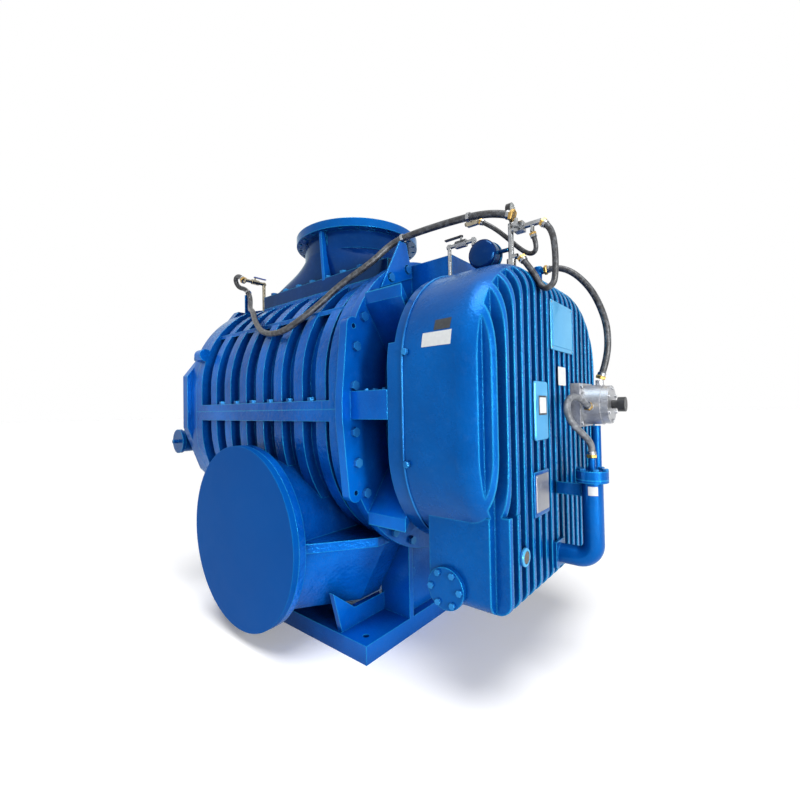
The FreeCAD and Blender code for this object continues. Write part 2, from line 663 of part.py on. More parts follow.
def oval(sketch, centre_y, high_centre, low_centre, radius):
    """A full outline: four round corners joined by straight sides."""
    y, high, low, r = centre_y.value, high_centre.value, low_centre.value, radius.value
    corners = ((y, high, 0), (-y, high, 1), (-y, low, 2), (y, low, 3))
    arcs = []
    for cy, cz, quarter in corners:
        ring = Part.Circle(Vector(cy, cz, 0), Vector(0, 0, 1), r)
        begin = quarter * math.pi / 2
        arcs.append(sketch.addGeometry(Part.ArcOfCircle(ring, begin, begin + math.pi / 2), False))
    sides = []
    for i, arc in enumerate(arcs):
        after = arcs[(i + 1) % 4]
        ends = sketch.getPoint(arc, 2), sketch.getPoint(after, 1)
        sides.append(sketch.addGeometry(Part.LineSegment(*ends), False))
    for i, arc in enumerate(arcs):
        after = arcs[(i + 1) % 4]
        for first, point, second, start in ((arc, 2, sides[i], 1), (sides[i], 2, after, 1)):
            sketch.addConstraint(Sketcher.Constraint("Tangent", first, point, second, start))
        bound(sketch, "Radius", arc, radius)
    pin(sketch, arcs[0], 3, centre_y, high_centre)
    pin(sketch, arcs[2], 3, -centre_y, low_centre)


def plate_outline(sketch, inset=ZERO):
    """The end plates' outline, concentric with the casing's shoulders."""
    oval(sketch, d.shoulder_out, upper_centre, lower_centre, d.casing_corner - inset)


def case_outline(sketch, inset=ZERO):
    """The gear case's outline."""
    oval(sketch, d.case_half_width - d.case_corner, d.case_top - d.case_corner,
         d.case_bottom + d.case_corner, d.case_corner - inset)


def rotor_bores(body, name, radius, at, length):
    """Two round bores on the rotor axes."""
    for side, word in ((1, "drive"), (-1, "driven")):
        sketch = new_sketch(body, f"{name}_{word}", "YZ_Plane", at)
        circle(sketch, d.axis_spacing / 2 * side, d.axis_height, radius)
        pocket(body, sketch, length)


rotor_pitch_radius = d.axis_spacing / 2
rotor_tip = rotor_pitch_radius * 4 / 3  # three lobes: the pitch radius and a third of it


def rod(body, name, role, at, length, x, y, radius, bore=None):
    """A round pad across one of the body's planes, hollow when it has a bore."""
    sketch = new_sketch(body, name, role, at)
    circle(sketch, x, y, radius)
    if bore is not None:
        circle(sketch, x, y, bore)
    return pad(body, sketch, length)


def bore_hole(body, name, role, at, length, x, y, radius):
    sketch = new_sketch(body, name, role, at)
    circle(sketch, x, y, radius)
    return pocket(body, sketch, length)


def bore_row(body, name, role, at, length, places, radius, along=1):
    """Many equal holes cut by one sketch."""
    sketch = new_sketch(body, name, role, at)
    for x, y in places:
        circle(sketch, x, y, radius)
    return pocket(body, sketch, length, along)


def place(thing, x, y, z, turned=None):
    """Puts a primitive at a place given by sums of cells."""
    spin = turned or Rotation()
    thing.Placement = Placement(Vector(term(x).value, term(y).value, term(z).value), spin)
    for word, length in zip("xyz", (x, y, z)):
        thing.setExpression(f"Placement.Base.{word}", term(length).text)


def facing(x, y, z):
    """The turn that brings the +Z of a primitive to a direction."""
    return Rotation(Vector(0, 0, 1), Vector(x, y, z))


def drum(name, base, way, radius, length):
    thing = doc.addObject("Part::Cylinder", name)
    bind(thing, Radius=radius, Height=length)
    place(thing, *base, facing(*way))
    return thing


def group(label, things):
    """One node made of separate solids."""
    bundle = doc.addObject("Part::Compound", label)
    bundle.Label = label
    bundle.Links = things
    PARTS.append(bundle)
    return bundle


def bolts(label, places, way, size):
    """Hexagon bolts with their heads towards a direction, each a head fused to a shank."""
    head_radius, head_height, shank_radius, sink = size
    made = []
    for number, (x, y, z) in enumerate(places):
        head = doc.addObject("Part::Prism", f"{label}_head_{number}")
        head.Polygon = 6
        bind(head, Circumradius=head_radius, Height=head_height)
        place(head, x, y, z, facing(*way))
        foot = [term(p) - term(sink) * w for p, w in zip((x, y, z), way)]
        shank = drum(f"{label}_shank_{number}", foot, way, shank_radius, sink)
        bolt = doc.addObject("Part::Fuse", f"{label}_{number}")
        bolt.Base = head
        bolt.Tool = shank
        made.append(bolt)
    return made


LARGE = (d.bolt_head, d.bolt_head_height, d.bolt_shank, d.bolt_sink)
SMALL = (d.small_head, d.small_head_height, d.small_shank, d.small_sink)
large_hole = d.bolt_shank + d.bolt_gap
small_hole = d.small_shank + d.bolt_gap


# Places of the bolts

def plate_bolt_places():
    """Bolts round the end plates' shoulders, as (y, z)."""
    radius = d.casing_corner + d.plate_rim - d.plate_bolt_inset
    places = []
    for step in range(int(d.plate_bolt_count.value)):
        lean = math.radians((d.plate_bolt_first + d.plate_bolt_step * step).value)
        out = d.shoulder_out + radius * round(math.sin(lean), 6)
        up = radius * round(math.cos(lean), 6)
        for side in (1, -1):
            places.append((out * side, upper_centre + up))
            places.append((out * side, lower_centre - up))
    for side in (1, -1):
        places.append((d.side_bolt_out * side, d.axis_height + d.side_bolt_rise))
        places.append((d.side_bolt_out * side, d.axis_height - d.side_bolt_rise))
    return places


def hood_bolt_places():
    """Two rows of bolts along the hood's foot plate, as (x, y)."""
    places = []
    for step in range(int(d.hood_bolt_count.value)):
        for side in (1, -1):
            places.append((d.hood_bolt_pitch * step - d.hood_bolt_first, d.hood_bolt_out * side))
    return places


def shelf_bolt_places():
    """Three bolts on each side shelf, as (x, y)."""
    middle = joint_front + d.end_plate_thickness + d.distance_length / 2
    places = []
    for step in (-1, 0, 1):
        for side in (1, -1):
            places.append((middle + d.shelf_bolt_pitch * step, d.shelf_bolt_out * side))
    return places


def split_bolt_places():
    """A bolt in each bay of the split flange, on both sides, as (x, y)."""
    places = []
    for step in range(int(d.rib_count.value) - 1):
        x = d.rib_pitch * (step + 0.5) - d.rib_last
        for side in (1, -1):
            places.append((x, d.split_bolt_out * side))
    return places


def cover_bolt_places():
    """Bolts along the drive end cover's sides and ends, as (y, z)."""
    out = d.cover_bolt_out
    high, low = d.drive_cover_top - d.plate_bolt_inset, d.drive_cover_low + d.plate_bolt_inset
    middle = (d.drive_cover_side_high + d.drive_cover_side_low) / 2
    places = []
    for side in (1, -1):
        places += [(out * side, high), (out * side, low)]
        places.append((d.cover_bolt_wide * side, middle + out))
        places.append((d.cover_bolt_wide * side, middle - out))
    return places


# Bed with its pedestals

def base_frame():
    body = new_body("base_frame")
    block(body, "bed", (-d.base_back, -d.base_half_width, ZERO),
          (d.base_front, d.base_half_width, d.base_thickness))
    half = d.web_thickness / 2
    for end, edge, way in (("gear_end", d.base_front, -1), ("drive_end", -d.base_back, 1)):
        inner = edge + d.web_length * way
        low_x, high_x = (inner, edge) if way < 0 else (edge, inner)
        for side in (1, -1):
            middle = d.web_out * side
            block(body, f"{end}_web_{side + 1}", (low_x, middle - half, d.base_thickness),
                  (high_x, middle + half, casing_bottom))
        cross = edge + d.web_thickness * way * 2
        block(body, f"{end}_cross", (cross - half, -d.web_out, d.base_thickness),
              (cross + half, d.web_out, casing_bottom))
        rigger = new_sketch(body, f"{end}_outrigger", "YZ_Plane", inner - half)
        tip = d.base_half_width - d.foot_inset / 4
        low = d.base_thickness
        tip_z = low + d.outrigger_height
        web_z = tip_z + d.outrigger_rise
        under = d.outlet_low - d.rigger_gap
        polygon(rigger, [(-tip, low), (tip, low), (tip, tip_z), (d.web_out, web_z),
                         (-d.web_out, web_z), (-d.web_out, under), (-d.rigger_knee, under),
                         (-d.rigger_tip, low + d.rigger_tip_rise)])
        pad(body, rigger, d.web_thickness)
    plug = new_sketch(body, "pedestal_plug", "YZ_Plane", d.base_front - d.web_thickness * 2 + half)
    polygon(plug, round_places(-d.plug_y, d.plug_height, d.plug_radius, 6))
    pad(body, plug, d.plug_length)
    holes = new_sketch(body, "anchor_holes", "XY_Plane", ZERO)
    for x in (d.base_front - d.foot_inset, d.foot_inset - d.base_back):
        for side in (1, -1):
            circle(holes, x, (d.base_half_width - d.foot_inset) * side, d.foot_hole)
    pocket(body, holes, d.base_thickness)
    return body


# Rotor casing, split at the rotor axes

def casing_half(label, centre, flat_z, up):
    body = new_body(label)
    barrel = new_sketch(body, f"{label}_barrel", "YZ_Plane", joint_back)
    barrel_flat = flat_z if up > 0 else flat_z + d.barrel_inset
    arch(barrel, d.barrel_inset, centre, d.axis_height, barrel_flat)
    pad(body, barrel, d.casing_back + d.casing_front)
    for name, at, thick in (("back_flange", joint_back, d.flange_back),
                            ("front_flange", joint_front - d.flange_front, d.flange_front)):
        flange = new_sketch(body, f"{label}_{name}", "YZ_Plane", at)
        arch(flange, ZERO, centre, d.axis_height, flat_z)
        pad(body, flange, thick)
    rib = new_sketch(body, f"{label}_rib", "YZ_Plane", -d.rib_last - d.rib_width / 2)
    rib_flat = flat_z if up > 0 else flat_z + d.rib_inset
    arch(rib, d.rib_inset, centre, d.axis_height, rib_flat)
    rib_pad = pad(body, rib, d.rib_width)
    doc.recompute()
    repeat(body, rib_pad, "X_Axis", d.rib_pitch * (d.rib_count - 1), d.rib_count)
    doc.recompute()
    half_width = d.shoulder_out + d.casing_corner
    thick = d.band_rise if up > 0 else d.band_drop
    low_z = d.axis_height if up > 0 else d.axis_height - d.band_drop
    block(body, f"{label}_split_flange", (joint_back, -half_width, low_z),
          (joint_front, half_width, low_z + thick))
    return body


def upper_casing():
    body = casing_half("upper_casing", upper_centre, casing_top, 1)
    block(body, "inlet_pad", (-d.pad_back, -d.pad_half_width, casing_top - d.pad_depth),
          (d.pad_front, d.pad_half_width, casing_top))
    stringer_z = d.axis_height + d.stringer_up
    block(body, "stringer", (joint_back, -d.stringer_half_width, stringer_z),
          (joint_front, d.stringer_half_width, stringer_z + d.stringer_height))
    for side in (1, -1):
        rod(body, f"flange_ear_{side + 1}", "YZ_Plane", joint_back, d.flange_back, d.ear_out * side,
            d.axis_height + d.side_rim_high, d.ear_radius)
    rotor_bores(body, "upper_bore", rotor_tip + d.running_gap, joint_back,
                d.casing_back + d.casing_front)
    port = new_sketch(body, "inlet_port", "XY_Plane", d.axis_height)
    rectangle(port, -d.port_half_length, -d.port_half_width, d.port_half_length, d.port_half_width)
    pocket(body, port, d.casing_rise)
    bore_row(body, "upper_split_holes", "XY_Plane", d.axis_height, d.band_rise, split_bolt_places(),
             large_hole)
    bore_row(body, "front_plate_holes", "YZ_Plane", joint_front - d.bolt_sink, d.bolt_sink,
             [(y, z) for y, z in plate_bolt_places() if z.value > d.axis_height.value], large_hole)
    return body


def round_arcs(sketch, centre_x, centre_z, radius, angles):
    """Arcs of one circle between the given angles, in degrees, each joined to the next."""
    middle = spot(centre_x, centre_z)
    arcs = []
    for begin, end in zip(angles, angles[1:]):
        ring = Part.Circle(middle, Vector(0, 0, 1), radius.value)
        arc = Part.ArcOfCircle(ring, math.radians(begin), math.radians(end))
        arcs.append(sketch.addGeometry(arc, False))
        lean = math.radians(begin)
        pin(sketch, arcs[-1], 1, centre_x + radius * round(math.cos(lean), 6),
            centre_z + radius * round(math.sin(lean), 6))
        bound(sketch, "Radius", arcs[-1], radius)
    for arc, after in zip(arcs, arcs[1:]):
        join(sketch, arc, 2, after, 1)
    return arcs


def hull_outline(sketch, wall):
    """The outlet hull's wide section: widest at its ledge, narrow at its bottom."""
    top, low = d.outlet_height - wall, d.outlet_low + wall
    half_top, half_low = d.outlet_half_top - wall, d.outlet_half_low - wall
    polygon(sketch, [(-d.outlet_back - half_top, top), (-d.outlet_back - half_low, low),
                     (half_low - d.outlet_back, low), (half_top - d.outlet_back, top)])


def hull_loft(body, kind, name, wall, radius):
    """The hull's taper, from its wide section to the lower half of the round neck."""
    wide = new_sketch(body, f"{name}_wide", "XZ_Plane", -d.outlet_knee)
    hull_outline(wide, wall)
    narrow = new_sketch(body, f"{name}_neck", "XZ_Plane", -d.outlet_reach)
    arcs = round_arcs(narrow, -d.outlet_back, d.outlet_height - wall, radius, [180, 240, 300, 360])
    across(narrow, (arcs[2], 2), (arcs[0], 1))
    bound(narrow, "DistanceY", -1, 1, arcs[2], 2, d.outlet_height - wall)
    loft = body.newObject(f"PartDesign::{kind}", f"{name}_loft")
    loft.Profile = wide
    loft.Sections = [(narrow, [""])]
    loft.Ruled = True
    doc.recompute()
    return loft


def outlet_hull(body):
    """The cast outlet: a round upper half over a hull that widens towards the casing."""
    x, z = -d.outlet_back, d.outlet_height
    rod(body, "outlet_neck", "XZ_Plane", -d.outlet_reach, d.outlet_reach - d.outlet_root, x, z,
        d.outlet_neck)
    wide = new_sketch(body, "outlet_hull", "XZ_Plane", -d.outlet_knee)
    hull_outline(wide, ZERO)
    pad(body, wide, d.outlet_knee - d.outlet_root)
    hull_loft(body, "AdditiveLoft", "hull", ZERO, d.outlet_neck)
    flange_back = d.outlet_flange_thickness - d.outlet_reach
    ledge = new_sketch(body, "outlet_ledge", "XY_Plane", z - d.ledge_thickness / 2)
    half, end = d.outlet_half_top, d.ledge_half_end
    polygon(ledge, [(x - half, -d.outlet_root), (x - half, -d.ledge_knee), (x - end, flange_back),
                    (x + end, flange_back), (x + half, -d.ledge_knee), (x + half, -d.outlet_root)])
    pad(body, ledge, d.ledge_thickness)


def outlet_passage(body):
    """The hollow of the outlet, from the flange to the outlet chamber."""
    bore_hole(body, "outlet_bore", "XZ_Plane", -d.outlet_reach, d.outlet_reach - d.chamber_half_width,
              -d.outlet_back, d.outlet_height, d.outlet_bore)
    hollow = new_sketch(body, "hull_hollow", "XZ_Plane", -d.outlet_knee)
    hull_outline(hollow, d.outlet_wall)
    pocket(body, hollow, d.outlet_knee - d.outlet_root - d.outlet_wall)
    hull_loft(body, "SubtractiveLoft", "hull_passage", d.outlet_wall, d.outlet_bore)


def lower_casing():
    body = casing_half("lower_casing", lower_centre, casing_bottom, -1)
    outlet_hull(body)
    flange = new_sketch(body, "outlet_flange", "XZ_Plane", -d.outlet_reach)
    circle(flange, -d.outlet_back, d.outlet_height, d.outlet_flange_radius)
    pad(body, flange, d.outlet_flange_thickness)
    rotor_bores(body, "lower_bore", rotor_tip + d.running_gap, joint_back,
                d.casing_back + d.casing_front)
    chamber = new_sketch(body, "outlet_chamber", "XY_Plane", d.axis_height)
    rectangle(chamber, -d.chamber_half_length, -d.chamber_half_width,
              d.chamber_half_length, d.chamber_half_width)
    pocket(body, chamber, d.chamber_drop, -1)
    outlet_passage(body)
    bore_row(body, "lower_split_holes", "XY_Plane", d.axis_height, d.bolt_sink, split_bolt_places(),
             large_hole, -1)
    bore_row(body, "lower_plate_holes", "YZ_Plane", joint_front - d.bolt_sink, d.bolt_sink,
             [(y, z) for y, z in plate_bolt_places() if z.value < d.axis_height.value], large_hole)
    return body


def outlet_blank_plate():
    body = new_body("outlet_blank_plate")
    disc = new_sketch(body, "blank_disc", "XZ_Plane", -d.outlet_reach - d.blank_thickness)
    circle(disc, -d.outlet_back, d.outlet_height, d.outlet_flange_radius)
    pad(body, disc, d.blank_thickness)
    return body


# Inlet

hood_plate_top = casing_top + d.hood_plate_thickness


def hood_loft(body, kind, name, half_length, half_width, radius):
    """The hood's taper, from a rectangle on the foot plate to the round neck."""
    foot = new_sketch(body, f"{name}_foot", "XY_Plane", hood_plate_top)
    polygon(foot, [(half_length, half_width), (-half_length, half_width),
                   (-half_length, -half_width), (half_length, -half_width)])
    crown = new_sketch(body, f"{name}_crown", "XY_Plane", d.hood_taper_top)
    quarters = [45 + 90 * quarter for quarter in range(5)]
    arcs = round_arcs(crown, ZERO, ZERO, radius, quarters)
    join(crown, arcs[-1], 2, arcs[0], 1)
    loft = body.newObject(f"PartDesign::{kind}", f"{name}_loft")
    loft.Profile = foot
    loft.Sections = [(crown, [""])]
    loft.Ruled = True
    doc.recompute()


def inlet_hood():
    body = new_body("inlet_hood")
    block(body, "hood_plate", (-d.pad_back, -d.pad_half_width, casing_top),
          (d.pad_front, d.pad_half_width, hood_plate_top))
    hood_loft(body, "AdditiveLoft", "hood", d.hood_half_length, d.hood_half_width, d.neck_radius)
    neck = new_sketch(body, "neck", "XY_Plane", d.hood_taper_top)
    circle(neck, ZERO, ZERO, d.neck_radius)
    pad(body, neck, d.neck_top - d.hood_taper_top)
    reach = d.inlet_bolt_circle - d.inlet_bolt_hole * 2
    foot, root = d.hood_half_width, d.hood_half_width / 2
    for side in (1, -1):
        gusset = new_sketch(body, f"hood_gusset_{side + 1}", "YZ_Plane",
                            d.gusset_x - d.gusset_thickness / 2)
        polygon(gusset, [(root * side, hood_plate_top), (foot * side, hood_plate_top),
                         (reach * side, d.neck_top), (root * side, d.neck_top)])
        pad(body, gusset, d.gusset_thickness)
    wall = d.neck_radius - d.inlet_bore
    hood_loft(body, "SubtractiveLoft", "duct", d.hood_half_length - wall, d.hood_half_width - wall,
              d.inlet_bore)
    bore = new_sketch(body, "neck_bore", "XY_Plane", d.hood_taper_top)
    circle(bore, ZERO, ZERO, d.inlet_bore)
    pocket(body, bore, d.neck_top - d.hood_taper_top)
    port = new_sketch(body, "plate_port", "XY_Plane", casing_top)
    rectangle(port, -d.port_half_length, -d.port_half_width, d.port_half_length, d.port_half_width)
    pocket(body, port, d.hood_plate_thickness)
    bore_row(body, "hood_holes", "XY_Plane", casing_top, d.hood_plate_thickness, hood_bolt_places(),
             large_hole)
    return body


def inlet_flange():
    body = new_body("inlet_flange")
    ring = new_sketch(body, "flange_ring", "XY_Plane", d.neck_top)
    circle(ring, ZERO, ZERO, d.inlet_flange_radius)
    circle(ring, ZERO, ZERO, d.inlet_bore)
    pad(body, ring, d.inlet_flange_thickness)
    hole = new_sketch(body, "flange_hole", "XY_Plane", d.neck_top)
    circle(hole, d.inlet_bolt_circle, ZERO, d.inlet_bolt_hole)
    cut = pocket(body, hole, d.inlet_flange_thickness)
    turn(body, cut, "Z_Axis", d.inlet_bolt_count)
    return body


# Gear end: end plate with its distance piece, gear case wall and finned cover

def gear_end_plate():
    body = new_body("gear_end_plate")
    plate = new_sketch(body, "gear_plate", "YZ_Plane", joint_front)
    plate_outline(plate, -d.plate_rim)
    pad(body, plate, d.end_plate_thickness)
    rim = new_sketch(body, "gear_plate_sides", "YZ_Plane", joint_front)
    high, low = d.axis_height + d.side_rim_high, d.axis_height - d.side_rim_low
    ear, out = d.ear_out + d.ear_radius, d.side_rim_out
    right = [(ear, low), (out, d.axis_height - d.side_rim_half),
             (out, d.axis_height + d.side_rim_half), (ear, high)]
    polygon(rim, right + [(-y, z) for y, z in reversed(right)])
    pad(body, rim, d.end_plate_thickness)
    ears = [(d.ear_out * side, z) for side in (1, -1) for z in (high, low)]
    for number, (y, z) in enumerate(ears):
        rod(body, f"plate_ear_{number}", "YZ_Plane", joint_front, d.end_plate_thickness, y, z,
            d.ear_radius)
    bore_row(body, "ear_holes", "YZ_Plane", joint_front, d.end_plate_thickness, ears, d.ear_hole)
    web_start = joint_front + d.end_plate_thickness
    drum = new_sketch(body, "bearing_drum", "YZ_Plane", web_start)
    plate_outline(drum, d.drum_inset)
    pad(body, drum, d.distance_length)
    low, high = d.axis_height - d.shelf_drop, d.axis_height + d.shelf_rise
    block(body, "side_shelves", (web_start, -d.shelf_half_width, low),
          (case_back, d.shelf_half_width, high))
    half = d.wing_plate / 2
    for name, far, near in (
            ("lower_wing", (d.wing_far, d.wing_far_low), (d.wing_near, d.wing_near_low)),
            ("upper_wing", (d.wing_far, d.wing_far_high), (d.wing_near, d.wing_near_high))):
        for side in (1, -1):
            wing = new_sketch(body, f"{name}_{side + 1}", "YZ_Plane", web_start)
            polygon(wing, [(far[0] * side, far[1] - half), (near[0] * side, near[1] - half),
                           (near[0] * side, near[1] + half), (far[0] * side, far[1] + half)])
            pad(body, wing, d.distance_length)
    block(body, "top_box", (web_start, -d.box_half_width, d.box_low),
          (case_back + d.case_step_depth, d.box_half_width, d.box_top))
    for side, word in ((1, "drive"), (-1, "driven")):
        for name, radius, at, length in (
                ("seal_bore", d.seal_radius, joint_front, d.end_plate_thickness + d.distance_length),
                ("bearing_bore", d.bearing_radius, case_back - d.bearing_width, d.bearing_width)):
            sketch = new_sketch(body, f"gear_{name}_{word}", "YZ_Plane", at)
            circle(sketch, d.axis_spacing / 2 * side, d.axis_height, radius)
            pocket(body, sketch, length)
    bore_row(body, "gear_plate_holes", "YZ_Plane", joint_front, d.end_plate_thickness,
             plate_bolt_places(), large_hole)
    bore_row(body, "shelf_holes", "XY_Plane", d.axis_height + d.shelf_rise - d.small_sink,
             d.small_sink, shelf_bolt_places(), small_hole)
    return body


def gear_case_wall():
    body = new_body("gear_case_wall")
    wall = new_sketch(body, "case_wall", "YZ_Plane", case_back)
    case_outline(wall)
    pad(body, wall, d.ring_thickness)
    step = new_sketch(body, "case_step", "YZ_Plane", case_back)
    rectangle(step, -d.case_half_width, d.case_step, d.case_half_width, d.case_top)
    pocket(body, step, d.case_step_depth)
    seat = new_sketch(body, "drum_seat", "YZ_Plane", case_back)
    plate_outline(seat, d.drum_inset)
    pad(body, seat, d.case_step_depth)
    for side, word in ((1, "drive"), (-1, "driven")):
        sketch = new_sketch(body, f"case_bore_{word}", "YZ_Plane", case_back)
        circle(sketch, d.axis_spacing / 2 * side, d.axis_height, d.bearing_radius - d.bearing_lip)
        pocket(body, sketch, d.ring_thickness)
    return body


def edges_where(shape, test):
    """Names of the edges whose middle point passes a test."""
    names = []
    for number, edge in enumerate(shape.Edges, start=1):
        middle = edge.valueAt((edge.FirstParameter + edge.LastParameter) / 2)
        if test(edge, middle):
            names.append(f"Edge{number}")
    return names


def round_edges(body, name, radius, test):
    doc.recompute()
    base = body.Tip
    fillet = body.newObject("PartDesign::Fillet", name)
    fillet.Base = (base, edges_where(base.Shape, test))
    bind(fillet, Radius=radius)
    doc.recompute()
    return fillet


def gear_cover():
    body = new_body("gear_cover")
    shell = new_sketch(body, "cover_outline", "YZ_Plane", cover_joint)
    case_outline(shell)
    pad(body, shell, d.cover_depth)
    face = cover_face.value
    round_edges(body, "cover_front_round", d.cover_round, lambda edge, middle: abs(middle.x - face) < 1)
    sump_back = cover_joint + d.sump_back
    block(body, "sump", (sump_back, -d.sump_half_width, d.sump_bottom),
          (cover_face, d.sump_half_width, d.sump_top))
    half, low, back = d.sump_half_width.value, d.sump_bottom.value, sump_back.value

    def on_sump(edge, middle):
        upright = abs(abs(middle.y) - half) < 1 and abs(middle.x - face) < 1
        foot = abs(middle.z - low) < 1 and middle.x > back + 1
        return upright or foot

    round_edges(body, "sump_round_edges", d.sump_round, on_sump)
    groove = new_sketch(body, "groove", "YZ_Plane", cover_face - d.fin_depth)
    first = d.fin_pitch * (d.groove_count - 1) / 2
    groove_low, groove_high = d.sump_bottom - d.fin_pitch, d.case_top + d.fin_pitch
    rectangle(groove, -first - d.fin_gap / 2, groove_low, d.fin_gap / 2 - first, groove_high)
    cut = pocket(body, groove, d.fin_depth)
    repeat(body, cut, "Y_Axis", first * 2, d.groove_count)
    doc.recompute()
    y, z = d.axis_spacing / 2, d.axis_height
    block(body, "pump_seat", (cover_face - d.fin_depth - d.cover_wall, y - d.pump_pad, z - d.pump_pad),
          (cover_face, y + d.pump_pad, z + d.pump_pad))
    rod(body, "hatch_boss", "XZ_Plane", -d.sump_half_width, d.sump_round, d.hatch_x, d.hatch_height,
        d.hatch_boss)
    cavity = new_sketch(body, "gear_room", "YZ_Plane", cover_joint)
    case_outline(cavity, d.cover_wall)
    pocket(body, cavity, d.cover_depth - d.fin_depth - d.cover_wall)
    room = d.sump_half_width - d.sump_round
    oil = new_sketch(body, "oil_room", "YZ_Plane", sump_back + d.cover_wall)
    rectangle(oil, -room, d.sump_bottom + d.cover_wall, room, d.sump_top)
    pocket(body, oil, cover_face - d.fin_depth - d.cover_wall - sump_back - d.cover_wall)
    bore_hole(body, "pump_bore", "YZ_Plane", cover_face - d.fin_depth - d.cover_wall,
              d.fin_depth + d.cover_wall, y, z, d.nut_shaft)
    x, y, z = route_place("pump_delivery_hose", delivery_end)
    foot = d.case_top - d.cover_wall / 2
    rod(body, "delivery_riser", "XY_Plane", foot, z + d.delivery_over - foot, d.delivery_x, y,
        d.delivery_radius)
    rod(body, "delivery_stub", "YZ_Plane", d.delivery_x, x - d.delivery_x, y, z, d.pump_port)
    return body


# Drive end

def drive_end_plate():
    body = new_body("drive_end_plate")
    plate = new_sketch(body, "drive_plate", "YZ_Plane", joint_back - d.drive_plate_thickness)
    plate_outline(plate)
    pad(body, plate, d.drive_plate_thickness)
    for side, word in ((1, "drive"), (-1, "driven")):
        sketch = new_sketch(body, f"drive_seal_bore_{word}", "YZ_Plane",
                            joint_back - d.drive_plate_thickness)
        circle(sketch, d.axis_spacing / 2 * side, d.axis_height, d.seal_radius)
        pocket(body, sketch, d.drive_plate_thickness)
        bore_hole(body, f"drive_bearing_bore_{word}", "YZ_Plane",
                  joint_back - d.drive_plate_thickness, d.bearing_depth,
                  d.axis_spacing / 2 * side, d.axis_height, d.bearing_radius)
    return body


def drive_end_cover():
    body = new_body("drive_end_cover")
    cover = new_sketch(body, "drive_cover", "YZ_Plane", drive_face)
    wide, top, low = d.drive_cover_half_width, d.drive_cover_top, d.drive_cover_low
    outline = [(wide, d.drive_cover_side_high), (d.drive_cover_flat, top)]
    knee = (wide - d.drive_cover_knee, (low + d.drive_cover_side_low) / 2)
    outline += [(-y, z) for y, z in reversed(outline)]
    outline += [(-wide, d.drive_cover_side_low), (-knee[0], knee[1]), (-d.drive_cover_flat, low),
                (d.drive_cover_flat, low), knee, (wide, d.drive_cover_side_low)]
    polygon(cover, outline)
    pad(body, cover, d.drive_cover_depth)
    half, shallow = d.axis_spacing / 2, d.bearing_width - d.bearing_depth
    for side, word in ((1, "drive"), (-1, "driven")):
        bore_hole(body, f"cover_bearing_bore_{word}", "YZ_Plane",
                  drive_face + d.drive_cover_depth - shallow, shallow, half * side, d.axis_height,
                  d.bearing_radius)
    bore_hole(body, "input_bore", "YZ_Plane", drive_face, d.drive_cover_depth - shallow, half,
              d.axis_height, d.seat_shaft)
    bore_row(body, "drive_cover_holes", "YZ_Plane", drive_face, d.bolt_sink, cover_bolt_places(),
             large_hole)
    return body


# Rotors: a cycloid profile whose lobes and waists roll on the pitch circle

def cycloid(turn_angle, outside, ring, wheel, gap):
    """A point of a lobe (outside) or a waist, drawn in by the running gap."""
    sign = 1 if outside else -1
    reach = ring + wheel * sign
    inner = turn_angle * reach / wheel
    x = reach * math.cos(turn_angle) - sign * wheel * math.cos(inner)
    y = reach * math.sin(turn_angle) - wheel * math.sin(inner)
    away = math.hypot(x, y)
    return Vector(0, x, y) * ((away - gap) / away)


def rotor_profile(lobes, gap, samples):
    """The closed outline: one smooth curve for every lobe and every waist."""
    ring = rotor_pitch_radius.value
    wheel = ring / (2 * lobes)
    span = math.pi / lobes
    edges = []
    for number in range(2 * lobes):
        outside = number % 2 == 0
        points = []
        for step in range(samples + 1):
            points.append(cycloid(span * step / samples, outside, ring, wheel, gap))
        curve = Part.BSplineCurve()
        curve.interpolate(points)
        edge = curve.toShape()
        edge.rotate(Vector(), Vector(1, 0, 0), math.degrees(span * number))
        edges.append(edge)
    return Part.Wire(edges)


lobe_count, curve_samples = 3, 14


def rotor(label, side):
    """A lobed rotor with the seat for its shaft, a lobe at 60 degrees."""
    body = doc.addObject("Part::Feature", label)
    body.Label = label
    gap = d.running_gap.value
    outline = rotor_profile(lobe_count, gap / 2, curve_samples)
    outline.rotate(Vector(), Vector(1, 0, 0), 30)
    length = (d.casing_back + d.casing_front).value - gap * 2
    solid = Part.Face(outline).extrude(Vector(length, 0, 0))
    solid = solid.cut(Part.makeCylinder(d.rotor_shaft.value, length, Vector(), Vector(1, 0, 0)))
    body.Shape = solid
    place(body, joint_back + d.running_gap, d.axis_spacing / 2 * side, d.axis_height)
    PARTS.append(body)
    return body


def drive_rotor():
    return rotor("drive_rotor", 1)


def driven_rotor():
    return rotor("driven_rotor", -1)


bearing_back = drive_face + d.drive_cover_depth - (d.bearing_width - d.bearing_depth)
gear_back = d.gear_start
gear_end = gear_back + d.gear_width
nut_end = gear_end + d.nut_length
adapter_end = cover_face + d.adapter_length
pump_end = adapter_end + d.pump_length


def shaft(label, side):
    """A stepped shaft through a rotor, its bearings and its timing gear."""
    body = new_body(label)
    y, z = d.axis_spacing / 2 * side, d.axis_height
    rod(body, f"{label}_middle", "YZ_Plane", joint_back + d.running_gap,
        d.casing_back + d.casing_front - d.running_gap * 2, y, z, d.rotor_shaft)
    rod(body, f"{label}_back_seat", "YZ_Plane", bearing_back,
        joint_back + d.running_gap - bearing_back, y, z, d.seat_shaft)
    rod(body, f"{label}_front_seat", "YZ_Plane", joint_front - d.running_gap,
        case_back - joint_front + d.running_gap, y, z, d.seat_shaft)
    rod(body, f"{label}_gear_seat", "YZ_Plane", case_back, gear_end - case_back, y, z, d.gear_shaft)
    rod(body, f"{label}_nut_end", "YZ_Plane", gear_end, nut_end - gear_end, y, z, d.nut_shaft)
    return body


